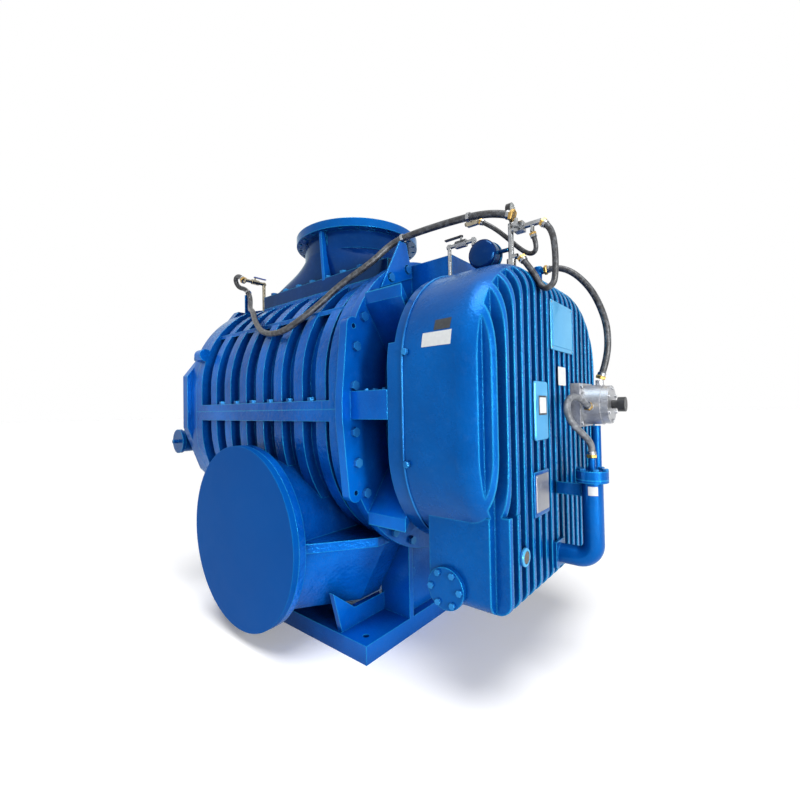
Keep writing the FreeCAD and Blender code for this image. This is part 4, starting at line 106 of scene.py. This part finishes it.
class Shader:
    """A material being put together from nodes."""

    def __init__(self, name):
        self.material = bpy.data.materials.new(name)
        self.material.use_nodes = True
        self.tree = self.material.node_tree
        self.shader = self.tree.nodes["Principled BSDF"]
        place = self.tree.nodes.new("ShaderNodeTexCoord")
        self.place = place.outputs["Object"]

    def node(self, kind, **values):
        made = self.tree.nodes.new(kind)
        for key, value in values.items():
            if key in made.inputs:
                made.inputs[key].default_value = value
            else:
                setattr(made, key, value)
        return made

    def link(self, start, end):
        self.tree.links.new(start, end)

    def noise(self, scale, detail=3.0, rough=0.5):
        """Clouds of noise, scale waves to the metre."""
        noise = self.node("ShaderNodeTexNoise", Scale=scale, Detail=detail, Roughness=rough)
        self.link(self.place, noise.inputs["Vector"])
        return noise.outputs["Fac"]

    def ramp(self, source, low, high, low_at=0.35, high_at=0.65):
        """From low, where the source is at low_at, up to high, where it is at high_at."""
        ramp = self.node("ShaderNodeMapRange")
        ramp.inputs["From Min"].default_value = low_at
        ramp.inputs["From Max"].default_value = high_at
        ramp.inputs["To Min"].default_value = low
        ramp.inputs["To Max"].default_value = high
        self.link(source, ramp.inputs["Value"])
        return ramp.outputs["Result"]

    def blend(self, factor, first, second):
        """The first colour where the factor is 0, the second where it is 1."""
        mix = self.node("ShaderNodeMix", data_type="RGBA")
        self.link(factor, mix.inputs["Factor"])
        for key, colour in (("A", first), ("B", second)):
            socket = [s for s in mix.inputs if s.name == key and s.type == "RGBA"][0]
            if isinstance(colour, tuple):
                socket.default_value = colour
            else:
                self.link(colour, socket)
        return [s for s in mix.outputs if s.type == "RGBA"][0]

    def hollows(self, distance):
        """How open a place is: 1 on open surfaces, near 0 in corners."""
        shade = self.node("ShaderNodeAmbientOcclusion", Distance=distance, samples=RAYS)
        return shade.outputs["AO"]

    def bump(self, source, depth, strength=1.0, base=None):
        bump = self.node("ShaderNodeBump", Strength=strength, Distance=depth)
        self.link(source, bump.inputs["Height"])
        if base is not None:
            self.link(base, bump.inputs["Normal"])
        return bump.outputs["Normal"]

    def soft_edges(self, radius):
        """Normals that round the edges off by a radius."""
        return self.node("ShaderNodeBevel", Radius=radius, samples=RAYS).outputs["Normal"]

    def edges(self, radius):
        """1 on a sharp edge of the form, 0 on its faces."""
        facing = self.node("ShaderNodeVectorMath", operation="DOT_PRODUCT")
        self.link(self.node("ShaderNodeNewGeometry").outputs["Normal"], facing.inputs[0])
        self.link(self.soft_edges(radius), facing.inputs[1])
        return self.ramp(facing.outputs["Value"], 1.0, 0.0, 0.8, 0.985)

    def finish(self, **values):
        for key, value in values.items():
            socket = self.shader.inputs[key.replace("_", " ")]
            if isinstance(value, (int, float, tuple)):
                socket.default_value = value
            else:
                self.link(value, socket)
        return self.material


# The first two colours are painted shade, laid in the hollows of the enamel.
PAINTED_SHADE_NAVY = linear(4, 20, 58)
PAINTED_SHADE_BLUE = linear(2, 32, 90)
BLUE = linear(1, 68, 143)
PALE_BLUE = linear(2, 86, 169)
SHEEN = linear(90, 225, 240)
# A painted highlight, laid on the free edges of the enamel.
PAINTED_HIGHLIGHT_BLUE = linear(40, 170, 225)
DUST = linear(110, 160, 200)

# How far the painted shade looks around for hollows, and the painted edge highlight for free edges,
# in metres
HOLLOW_REACH = 0.25
EDGE_REACH = 0.03


def enamel(name, lumps, lump_depth, edge=0.005, rough=0.17, colours=(PAINTED_SHADE_BLUE, BLUE, PALE_BLUE),
           shine=0.55, vary=0.25, dust=0.04, edge_highlight=0.75):
    """Thick glossy machine paint: painted shade in the hollows, painted highlight on the edges, a
    little dust.

    lumps and lump_depth are the casting's grain, in waves to the metre and metres; edge is the
    radius of its edges; vary and dust are how much the gloss and the dust show, and edge_highlight
    how strong the painted highlight on the edges is.
    """
    s = Shader(name)
    painted_shade_colour, plain, pale = colours
    tone = s.blend(s.ramp(s.noise(2.2, 4.0), 0.0, 1.0), plain, pale)
    # Painted shade: the deep colour is laid where the ambient occlusion finds hollows.
    open_to_light = s.ramp(s.hollows(HOLLOW_REACH), 0.0, 1.0, 0.1, 0.85)
    tone = s.blend(open_to_light, painted_shade_colour, tone)
    # Painted highlight: a pale blue on the open sharp edges, in place of glints of light.
    painted_edge_highlight = s.node("ShaderNodeMath", operation="MULTIPLY")
    s.link(s.edges(edge * 1.6), painted_edge_highlight.inputs[0])
    s.link(s.ramp(s.hollows(EDGE_REACH), 0.0, edge_highlight, 0.45, 0.95), painted_edge_highlight.inputs[1])
    tone = s.blend(painted_edge_highlight.outputs["Value"], tone, PAINTED_HIGHLIGHT_BLUE)
    dusty = s.ramp(s.noise(34.0, 6.0, 0.7), 0.0, dust, 0.52, 0.75)
    tone = s.blend(dusty, tone, DUST)
    gloss = s.ramp(s.noise(9.0, 5.0, 0.6), rough * (1 - vary), rough * (1 + vary * 2))
    normal = s.soft_edges(edge)
    normal = s.bump(s.noise(lumps, 3.0, 0.55), lump_depth, 1.0, normal)
    normal = s.bump(s.noise(lumps / 5, 2.0), lump_depth * 1.5, 1.0, normal)
    return s.finish(Base_Color=tone, Roughness=gloss, Normal=normal, Metallic=0.25, IOR=1.35,
                    Coat_Weight=0.03, Coat_Roughness=0.09, Specular_Tint=SHEEN,
                    Specular_IOR_Level=shine)


def metal(name, colour, rough, wear=0.25, scale=60.0, depth=0.0002):
    """Bare or plated metal, blotched in its colour and shine, with painted shade in its corners."""
    s = Shader(name)
    blotch = s.noise(scale, 5.0, 0.6)
    dim = darker(colour, 1 - wear)
    tone = s.blend(s.ramp(blotch, 0.0, 1.0, 0.3, 0.7), dim, colour)
    # Painted shade: darker where the ambient occlusion finds corners.
    shade = s.ramp(s.hollows(0.02), 0.25, 1.0, 0.1, 0.8)
    tone = s.blend(shade, darker(dim, 0.3), tone)
    gloss = s.ramp(blotch, rough * 0.7, rough * 1.4, 0.3, 0.7)
    normal = s.bump(blotch, depth, 0.6, s.soft_edges(0.0008))
    return s.finish(Base_Color=tone, Roughness=gloss, Normal=normal, Metallic=1.0)


def rubber(name, colour, scuffed):
    """Hose cover: dull rubber with a fine grain and scuffs."""
    s = Shader(name)
    tone = s.blend(s.ramp(s.noise(45.0, 5.0, 0.65), 0.0, 1.0, 0.45, 0.7), colour, scuffed)
    gloss = s.ramp(s.noise(70.0, 4.0), 0.3, 0.5)
    grain = s.bump(s.noise(900.0, 2.0), 0.0004, 0.7)
    return s.finish(Base_Color=tone, Roughness=gloss, Normal=grain, Specular_IOR_Level=0.6)


def plastic(name, colour, rough, pale):
    """Plain paint or film with faint clouds."""
    s = Shader(name)
    tone = s.blend(s.ramp(s.noise(60.0, 4.0), 0.0, 0.5), colour, pale)
    gloss = s.ramp(s.noise(90.0), rough * 0.8, rough * 1.3)
    grain = s.bump(s.noise(500.0), 0.0001, 0.5)
    return s.finish(Base_Color=tone, Roughness=gloss, Normal=grain)


def glass(name, tint):
    """Clear or tinted glass with a faint haze."""
    s = Shader(name)
    haze = s.ramp(s.noise(80.0), 0.02, 0.08)
    return s.finish(Base_Color=tint, Roughness=haze, Transmission_Weight=0.85, IOR=1.45)


SMOOTH = enamel("enamel_smooth", 80.0, 0.0009)
# A lighter copy of the blue enamel for the casings and plates: painted light, as if these faces
# caught more of the lamps.
PAINTED_LIGHT_BLUES = (PAINTED_SHADE_BLUE, linear(1, 70, 158), linear(2, 105, 209))
CAST = enamel("enamel_cast", 60.0, 0.0045, rough=0.13, colours=PAINTED_LIGHT_BLUES)
PLATE = enamel("enamel_plate", 70.0, 0.0014, rough=0.15, colours=PAINTED_LIGHT_BLUES)
COVER = enamel("enamel_cover", 85.0, 0.0013, edge=0.008, rough=0.22)
FLAT = enamel("enamel_flat", 18.0, 0.0001, edge=0.006, rough=0.5, shine=0.1, vary=0.03,
              dust=0.01, edge_highlight=0.2,
              colours=(linear(3, 74, 150), linear(3, 78, 158), linear(3, 81, 162)))
HOOD = enamel("enamel_hood", 40.0, 0.0008, colours=(PAINTED_SHADE_NAVY, linear(4, 34, 92), linear(5, 52, 126)))
NIGHT = enamel("enamel_dark", 30.0, 0.0003, rough=0.1,
               colours=(PAINTED_SHADE_NAVY, linear(3, 28, 84), linear(4, 40, 110)))
BOLT = enamel("enamel_bolt", 200.0, 0.0005, edge=0.0015,
              colours=(PAINTED_SHADE_BLUE, BLUE, linear(50, 140, 215)))
STEEL = metal("machined_steel", linear(190, 192, 196), 0.3)
IRON = metal("rotor_iron", linear(120, 122, 126), 0.45, scale=30.0)
ZINC = metal("zinc_plating", linear(180, 183, 186), 0.22, wear=0.45)
NICKEL = metal("nickel_plating", linear(176, 168, 148), 0.24, wear=0.4)
BRASS = metal("brass", linear(196, 160, 92), 0.28, wear=0.35)
ALUMINIUM = metal("cast_aluminium", linear(188, 190, 194), 0.42, scale=140.0, depth=0.0006)
HOSE = rubber("hose_rubber", linear(30, 31, 34), linear(88, 92, 98))
GREY_HOSE = rubber("grey_hose_rubber", linear(78, 82, 88), linear(128, 132, 138))
BLACK = plastic("black_paint", linear(20, 21, 24), 0.35, linear(48, 50, 54))
LEVER = plastic("blue_lever", linear(26, 60, 140), 0.35, linear(50, 90, 170))
CLEAR = glass("gauge_glass", linear(235, 242, 242))
OIL_GLASS = glass("oil_glass", linear(120, 104, 70))
PLAQUE = enamel("enamel_plaque", 50.0, 0.0003,
                colours=(BLUE, linear(70, 150, 205), linear(96, 172, 218)))
WHITE_LABEL = plastic("white_label", linear(205, 208, 210), 0.4, linear(188, 192, 196))
DARK_LABEL = plastic("dark_label", linear(34, 38, 42), 0.4, linear(58, 62, 66))

DRESS = {
    COVER: ("gear_cover",),
    NIGHT: ("oil_breather",),
    SMOOTH: ("gear_case_wall", "inlet_flange", "sump_hatch", "oil_filter_bowl", "oil_filter_lid",
             "riser_pipe", "filter_bracket", "oil_cooler"),
    CAST: ("lower_casing", "upper_casing"),
    HOOD: ("inlet_hood",),
    PLATE: ("base_frame", "gear_end_plate", "drive_end_plate", "drive_end_cover",
            "shaft_seal_housing", "front_hose_bracket", "back_hose_bracket"),
    FLAT: ("outlet_blank_plate",),
    BOLT: ("gear_end_bolts", "drive_end_bolts", "hood_bolts", "casing_split_bolts", "small_bolts"),
    STEEL: ("drive_shaft", "driven_shaft", "drive_shaft_key", "drive_timing_gear",
            "driven_timing_gear", "bearing_outer_rings", "drive_bearing_inner_rings",
            "driven_bearing_inner_rings", "bearing_rollers"),
    IRON: ("drive_rotor", "driven_rotor"),
    ZINC: ("hose_ferrules", "hose_clips", "manifold", "drain_valve"),
    NICKEL: ("top_valve", "back_valve"),
    ALUMINIUM: ("oil_pump_adapter", "oil_pump_body", "oil_pump_cover"),
    BLACK: ("drain_valve_lever", "gauge_case", "shaft_seal_rings", "relief_knob", "gauge_pointer"),
    LEVER: ("back_valve_lever", "top_valve_lever"),
    CLEAR: ("gauge_glass",),
    OIL_GLASS: ("oil_sight_glass",),
}


def dress(thing, material):
    thing.data.materials.clear()
    thing.data.materials.append(material)


for material, names in DRESS.items():
    for name in names:
        dress(nodes[name], material)


# Hoses: the route's points in metres, one smooth curve each

# Name, place, direction and hose diameter of the nut at each end, for the small pieces below
HOSE_ENDS = []


def hose(name, node, diameter, points, material=HOSE):
    """A hose along its route; its ends are drawn in by one diameter, as the ferrules are."""
    points = [Vector(point) for point in points]
    for number, end, after in ((1, 0, 1), (2, -1, -2)):
        towards = (points[after] - points[end]).normalized()
        HOSE_ENDS.append((f"{name}_nut_{number}", points[end].copy(), towards, diameter))
        points[end] += towards * diameter
    curve = bpy.data.curves.new(name, "CURVE")
    curve.dimensions = "3D"
    curve.bevel_depth = diameter / 2
    curve.bevel_resolution = 7
    curve.resolution_u = 16
    curve.use_fill_caps = True
    spline = curve.splines.new("NURBS")
    spline.points.add(len(points) - 1)
    for target, point in zip(spline.points, points):
        target.co = (*point, 1)
    spline.order_u = 3
    spline.use_endpoint_u = True
    piece = bpy.data.objects.new(name, curve)
    scene.collection.objects.link(piece)
    curve.materials.append(material)
    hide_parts(node)
    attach(piece, "stator")


hose("long_hose", "drive_end_oil_hose", 0.036, (
    (1.338, -0.310, 2.182), (1.262, -0.312, 2.216), (1.170, -0.318, 2.238), (1.040, -0.322, 2.250),
    (0.770, -0.328, 2.256), (0.624, -0.352, 2.232), (0.550, -0.435, 2.120), (0.375, -0.520, 2.010),
    (0.290, -0.595, 1.902), (0.207, -0.675, 1.810), (0.085, -0.712, 1.748),
    (-0.130, -0.695, 1.768), (-0.345, -0.620, 1.885), (-0.500, -0.545, 2.005),
    (-0.738, -0.425, 2.060), (-0.860, -0.345, 2.205), (-0.946, -0.335, 2.285),
    (-1.015, -0.362, 2.305), (-1.022, -0.388, 2.370), (-0.950, -0.390, 2.385),
    (-0.885, -0.385, 2.328)))
hose("loop_hose", "manifold_hose", 0.028, (
    (1.451, -0.265, 2.137), (1.495, -0.265, 2.090), (1.508, -0.265, 1.990), (1.506, -0.265, 1.885),
    (1.496, -0.265, 1.840), (1.450, -0.265, 1.824), (1.412, -0.265, 1.905),
    (1.348, -0.265, 2.000)))
hose("valve_hose", "top_valve_hose", 0.022, (
    (1.136, -0.262, 2.234), (1.200, -0.250, 2.190), (1.268, -0.226, 2.120), (1.330, -0.218, 2.050),
    (1.388, -0.234, 2.008), (1.424, -0.256, 2.025), (1.406, -0.265, 2.098)))
hose("delivery_hose", "pump_delivery_hose", 0.034, (
    (1.548, 0.260, 1.437), (1.575, 0.260, 1.510), (1.594, 0.260, 1.620), (1.583, 0.260, 1.760),
    (1.510, 0.260, 1.945), (1.375, 0.260, 2.084), (1.264, 0.260, 2.084)))
hose("feed_hose", "filter_hose", 0.030, (
    (1.521, 0.134, 1.290), (1.519, 0.000, 1.332), (1.515, -0.120, 1.345), (1.514, -0.195, 1.300),
    (1.530, -0.205, 1.230), (1.570, -0.140, 1.165), (1.592, -0.092, 1.120),
    (1.590, -0.090, 1.056)), GREY_HOSE)


# Small pieces: bare plates and labels, screws, nuts and the breather's dome

# How far screws go into what they sit on, and the height of the rotors' axes, in metres
SUNK = 0.001
AXIS_HEIGHT = 1.3


def stacked(name, rings, material, slot, soft=40, hoop=False):
    """A mesh through rings of points; its first and last are filled, or joined as in a hoop."""
    count = len(rings[0])
    faces = []
    for row in range(len(rings) if hoop else len(rings) - 1):
        low, high = row * count, (row + 1) % len(rings) * count
        for column in range(count):
            after = (column + 1) % count
            faces.append((low + column, low + after, high + after, high + column))
    if not hoop:
        faces.append(tuple(reversed(range(count))))
        faces.append(tuple(range((len(rings) - 1) * count, len(rings) * count)))
    piece(name, [point for ring in rings for point in ring], faces, material, slot, soft)


def piece(name, points, faces, material, slot, soft):
    """A mesh of its own on the stator, smooth but for edges sharper than soft degrees."""
    mesh = bpy.data.meshes.new(name)
    mesh.from_pydata(points, [], faces)
    mesh.shade_smooth()
    mesh.set_sharp_from_angle(angle=math.radians(soft))
    made = bpy.data.objects.new(name, mesh)
    scene.collection.objects.link(made)
    mesh.materials.append(material)
    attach(made, "stator")


def turned(name, outline, place, axis, material, slot, sides=32, soft=40, hoop=False):
    """A body turned round an axis from pairs of radius and height; six sides make a nut."""
    axis = Vector(axis).normalized()
    first = axis.orthogonal().normalized()
    second = axis.cross(first)
    rings = []
    for radius, height in outline:
        ring = []
        for number in range(sides):
            turn = math.tau * number / sides
            ring.append(Vector(place) + axis * height
                        + (first * math.cos(turn) + second * math.sin(turn)) * radius)
        rings.append(ring)
    stacked(name, rings, material, slot, soft, hoop)


def bolt_head(name, place, axis, radius, height, material, slot):
    """A hexagon head with its edge broken."""
    outline = ((radius, -SUNK), (radius, height * 0.8), (radius * 0.86, height))
    turned(name, outline, place, axis, material, slot, sides=6, soft=25)


def outer_face(lift):
    """x of a plane that stands a lift out from the fins of the gear cover."""
    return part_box("gear_cover")[1].x + lift


def plate(name, low, high, thickness, corner, material, slot, lift=0.0002):
    """A plate with round corners on the fins of the gear cover, given by two corners (y, z)."""
    face = outer_face(lift)
    rings = []
    for inset, x in ((0, face), (0, face + thickness * 0.6), (thickness * 0.4, face + thickness)):
        ring = []
        reach = corner - inset
        for number in range(4):
            right, top = number in (0, 3), number in (0, 1)
            centre_y = high[0] - corner if right else low[0] + corner
            centre_z = high[1] - corner if top else low[1] + corner
            for step in range(7):
                turn = math.radians(90 * number + 15 * step)
                y, z = centre_y + reach * math.cos(turn), centre_z + reach * math.sin(turn)
                ring.append((x, y, z))
        rings.append(ring)
    stacked(name, rings, material, slot)


def surface_of(node):
    """The faces of a node, to find points on."""
    mesh = nodes[node].data
    corners = [vertex.co for vertex in mesh.vertices]
    return BVHTree.FromPolygons(corners, [polygon.vertices for polygon in mesh.polygons])


def label(name, node, corner, across, up, material, slot):
    """A thin bare label that follows the surface it is stuck on."""
    surface = surface_of(node)
    corner, across, up = Vector(corner), Vector(across), Vector(up)
    out = across.cross(up).normalized()
    count = 8
    lift, thickness, clear_of_node = 0.0003, 0.0008, 0.3
    points = []
    for rise in (lift + thickness, lift):
        for row in range(count + 1):
            for column in range(count + 1):
                start = corner + across * (column / count) + up * (row / count)
                hit = surface.ray_cast(start + out * clear_of_node, -out)[0]
                points.append(hit + out * rise)
    width, layer = count + 1, (count + 1) ** 2
    faces = []
    for row in range(count):
        for column in range(count):
            at = row * width + column
            front = (at, at + 1, at + 1 + width, at + width)
            faces += [front, tuple(index + layer for index in reversed(front))]
    rim = [*range(count)]
    rim += [count + row * width for row in range(count)]
    rim += [layer - 1 - column for column in range(count)]
    rim += [(count - row) * width for row in range(count)]
    for at, after in zip(rim, rim[1:] + rim[:1]):
        faces.append((after, at, at + layer, after + layer))
    piece(name, points, faces, material, slot, 40)


def plate_screws(name, low, high, inset, lift, radius, material, slot):
    """A round-headed screw in each corner of a plate."""
    outline = ((radius, -SUNK), (radius, 0.001), (radius * 0.6, 0.0025))
    corners = [(y, z) for y in (low[0] + inset, high[0] - inset)
               for z in (low[1] + inset, high[1] - inset)]
    for number, (y, z) in enumerate(corners, 1):
        turned(f"{name}_{number}", outline, (outer_face(lift), y, z), (1, 0, 0), material, slot, 16)


# Plates on the gear cover: two corners (y, z), thickness, corner radius, and for a part that lies
# on another plate its lift from the fins
MAKER_PLATE = ((-0.128, 1.571), (0.186, 1.815))
RATING_PLATE = ((-0.357, 0.832), (-0.215, 0.994))
plate("maker_plate", *MAKER_PLATE, 0.006, 0.008, PLAQUE, "blue_enamel")
plate("maker_plate_panel", (-0.108, 1.591), (0.166, 1.795), 0.002, 0.004,
      PLAQUE, "blue_enamel", lift=0.0061)
plate_screws("maker_plate_screw", *MAKER_PLATE, 0.012, 0.006, 0.005, ZINC, "zinc")
plate("tall_pad", (-0.357, 1.145), (-0.205, 1.410), 0.010, 0.014, PLAQUE, "blue_enamel")
plate("tall_pad_sign", (-0.318, 1.258), (-0.226, 1.345), 0.0016, 0.004,
      DARK_LABEL, "black_paint", lift=0.0101)
plate("tall_pad_sign_field", (-0.310, 1.266), (-0.234, 1.337), 0.0008, 0.003,
      WHITE_LABEL, "zinc", lift=0.0117)
plate("small_tag", (-0.030, 1.400), (0.077, 1.494), 0.002, 0.004, WHITE_LABEL, "zinc")
plate("rating_pad", (-0.376, 0.812), (-0.204, 1.010), 0.006, 0.010, SMOOTH, "blue_enamel")
plate("rating_plate", *RATING_PLATE, 0.002, 0.004, ALUMINIUM, "aluminium", lift=0.0061)
plate_screws("rating_plate_screw", *RATING_PLATE, 0.008, 0.0081, 0.003, STEEL, "machined_steel")

# Labels: a corner, and from there the edge across and the edge up
label("side_label_dark", "gear_cover", (1.166, -0.750, 1.616), (0.078, 0, 0.001), (0, 0, 0.045),
      DARK_LABEL, "black_paint")
label("side_label_white", "gear_cover", (1.112, -0.750, 1.550), (0.142, 0, 0), (0, 0, 0.060),
      WHITE_LABEL, "zinc")
label("filter_label", "oil_filter_bowl", (1.590, -0.150, 0.890), (0.036, 0.018, 0), (0, 0, 0.040),
      WHITE_LABEL, "zinc")

# Trim of the breather drum, whose axis lies along y, and the ring of the oil level glass
BREATHER_RADIUS = 0.0722
BREATHER = (1.162, -0.300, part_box("oil_breather")[1].z - 0.072)
SIGHT_GLASS = (1.426, -0.4875, 0.680)
turned("breather_dome",
       ((BREATHER_RADIUS, -0.016), (BREATHER_RADIUS, 0.002), (0.069, 0.008), (0.058, 0.0135),
        (0.040, 0.0175), (0.020, 0.0195), (0.004, 0.020)),
       BREATHER, (0, -1, 0), NIGHT, "blue_enamel", 64, 60)
turned("breather_rim",
       ((BREATHER_RADIUS, -0.075), (0.0765, -0.073), (0.0765, -0.062), (BREATHER_RADIUS, -0.060)),
       BREATHER, (0, -1, 0), SMOOTH, "blue_enamel", 64, hoop=True)
turned("sight_ring",
       ((0.038, 0.0002), (0.038, 0.009), (0.034, 0.0125), (0.0265, 0.0125), (0.0255, 0.0002)),
       SIGHT_GLASS, (1, 0, 0), PLAQUE, "blue_enamel", 32, hoop=True)


def hose_nut(name, place, towards, diameter):
    """The hexagon nut that holds the end of a hose."""
    radius = diameter * 0.8
    outline = ((radius * 0.9, 0), (radius, radius * 0.12), (radius, diameter * 0.45),
               (radius * 0.9, diameter * 0.55))
    turned(name, outline, place, towards, BRASS, "brass", sides=6, soft=25)


for name, place, towards, diameter in HOSE_ENDS:
    hose_nut(name, place, towards, diameter)


def hood_web(name, side):
    """The upright web between the hood's foot and the inlet flange, beyond the hood's face."""
    corners = ((0.300, 2.121), (0.379, 2.121), (0.405, 2.4435), (0.330, 2.4435))
    rings = [[(x, y * side, z) for y, z in corners] for x in (0.055, 0.079)]
    stacked(name, rings, PLATE, "blue_enamel")


hood_web("hood_web_left", -1)
hood_web("hood_web_right", 1)


def joint_bead():
    """The raised edge where the gear case wall meets the cover, found round the cover's outline."""
    surface = surface_of("gear_cover")
    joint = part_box("gear_cover")[0].x
    steps = 240
    outside, into_cover = 2.0, 0.02
    outline = ((-0.004, 0.0), (-0.004, 0.005), (-0.002, 0.007), (0.003, 0.007), (0.005, 0.005),
               (0.005, 0.0))
    rings = []
    for x, rise in outline:
        ring = []
        for number in range(steps):
            turn = math.tau * number / steps
            inward = Vector((0, -math.cos(turn), -math.sin(turn)))
            centre = Vector((joint + into_cover, 0, AXIS_HEIGHT))
            hit = surface.ray_cast(centre - inward * outside, inward)[0]
            ring.append(Vector((joint + x, hit.y, hit.z)) - inward * rise)
        rings.append(ring)
    stacked("joint_bead", rings, BOLT, "blue_enamel", 50, hoop=True)


joint_bead()

# Bolts of the oil pump, which sits on the drive shaft's axis, and of the gear case's sides
PUMP_Y, COVER_SCREWS = 0.260, 6
for number in range(COVER_SCREWS):
    turn = math.tau * (number + 0.5) / COVER_SCREWS
    place = (1.603, PUMP_Y + 0.084 * math.cos(turn), AXIS_HEIGHT + 0.084 * math.sin(turn))
    bolt_head(f"pump_cover_screw_{number + 1}", place, (1, 0, 0), 0.0085, 0.009,
              STEEL, "machined_steel")
for number, (side, rise) in enumerate(((1, 1), (1, -1), (-1, 1), (-1, -1)), 1):
    place = (1.476, PUMP_Y + 0.097 * side, AXIS_HEIGHT + 0.097 * rise)
    bolt_head(f"pump_adapter_bolt_{number}", place, (1, 0, 0), 0.012, 0.012,
              STEEL, "machined_steel")
for number, (side, z) in enumerate(((-1, 1.540), (-1, 1.060), (1, 1.540), (1, 1.060)), 1):
    bolt_head(f"case_side_bolt_{number}", (1.030, 0.750 * side, z), (0, side, 0), 0.016, 0.014,
              BOLT, "dark_steel")


# Floor, backdrop and light: strengths of 1 are white

SKY_LIGHT = 0.18
FLOOR_REACH = 90
FLOOR_LIGHT = (0.45, 0.45, 0.45, 1)
WHITE = (1, 1, 1, 1)
FLOOR_GLOW = 0.1


def seen_directly(tree):
    """1 for what is seen, also mirrored or through glass, and 0 for light that falls on things."""
    path = tree.nodes.new("ShaderNodeLightPath")
    total = path.outputs["Is Camera Ray"]
    for ray in ("Is Glossy Ray", "Is Transmission Ray"):
        larger = tree.nodes.new("ShaderNodeMath")
        larger.operation = "MAXIMUM"
        tree.links.new(total, larger.inputs[0])
        tree.links.new(path.outputs[ray], larger.inputs[1])
        total = larger.outputs[0]
    return total


def floor():
    """A floor that is seen white where no shadow falls on it, and lights the object as a grey."""
    mesh = bpy.data.meshes.new("floor")
    reach = FLOOR_REACH
    corners = [(-reach, -reach, 0), (reach, -reach, 0), (reach, reach, 0), (-reach, reach, 0)]
    mesh.from_pydata(corners, [], [(0, 1, 2, 3)])
    thing = bpy.data.objects.new("floor", mesh)
    scene.collection.objects.link(thing)
    s = Shader("pale_floor")
    seen = seen_directly(s.tree)
    s.finish(Base_Color=s.blend(seen, FLOOR_LIGHT, WHITE), Roughness=0.9, Specular_IOR_Level=0.05,
             Emission_Color=WHITE, Emission_Strength=s.ramp(seen, 0.0, FLOOR_GLOW, 0.0, 1.0))
    mesh.materials.append(s.material)


def world():
    """White where it is seen, and a weak even light on the object."""
    made = bpy.data.worlds.new("studio")
    scene.world = made
    made.use_nodes = True
    tree = made.node_tree
    back = tree.nodes["Background"]
    strength = tree.nodes.new("ShaderNodeMapRange")
    strength.inputs["To Min"].default_value = SKY_LIGHT
    strength.inputs["To Max"].default_value = 1.0
    tree.links.new(seen_directly(tree), strength.inputs["Value"])
    back.inputs["Color"].default_value = WHITE
    tree.links.new(strength.outputs["Result"], back.inputs["Strength"])


def lamp(name, kind, place, target, power, **values):
    """A lamp at a place that shines towards a target."""
    data = bpy.data.lights.new(name, kind)
    data.energy = power
    for key, value in values.items():
        setattr(data, key, value)
    thing = bpy.data.objects.new(name, data)
    scene.collection.objects.link(thing)
    thing.location = place
    thing.rotation_mode = "QUATERNION"
    thing.rotation_quaternion = (Vector(target) - Vector(place)).to_track_quat("-Z", "Y")


floor()
world()
lamp("panel", "AREA", (6.2, -2.3, 1.7), (0.8, -0.4, 1.2), 290, color=(1, 0.99, 0.97),
     shape="RECTANGLE", size=0.9, size_y=2.7)
lamp("strip", "AREA", (5.0, -3.9, 1.6), (1.3, -0.7, 1.3), 95,
     shape="RECTANGLE", size=1.0, size_y=2.4)
lamp("overhead", "SUN", (0.9, -1.1, 5.5), (0, 0, 1), 2.4, angle=math.radians(34))
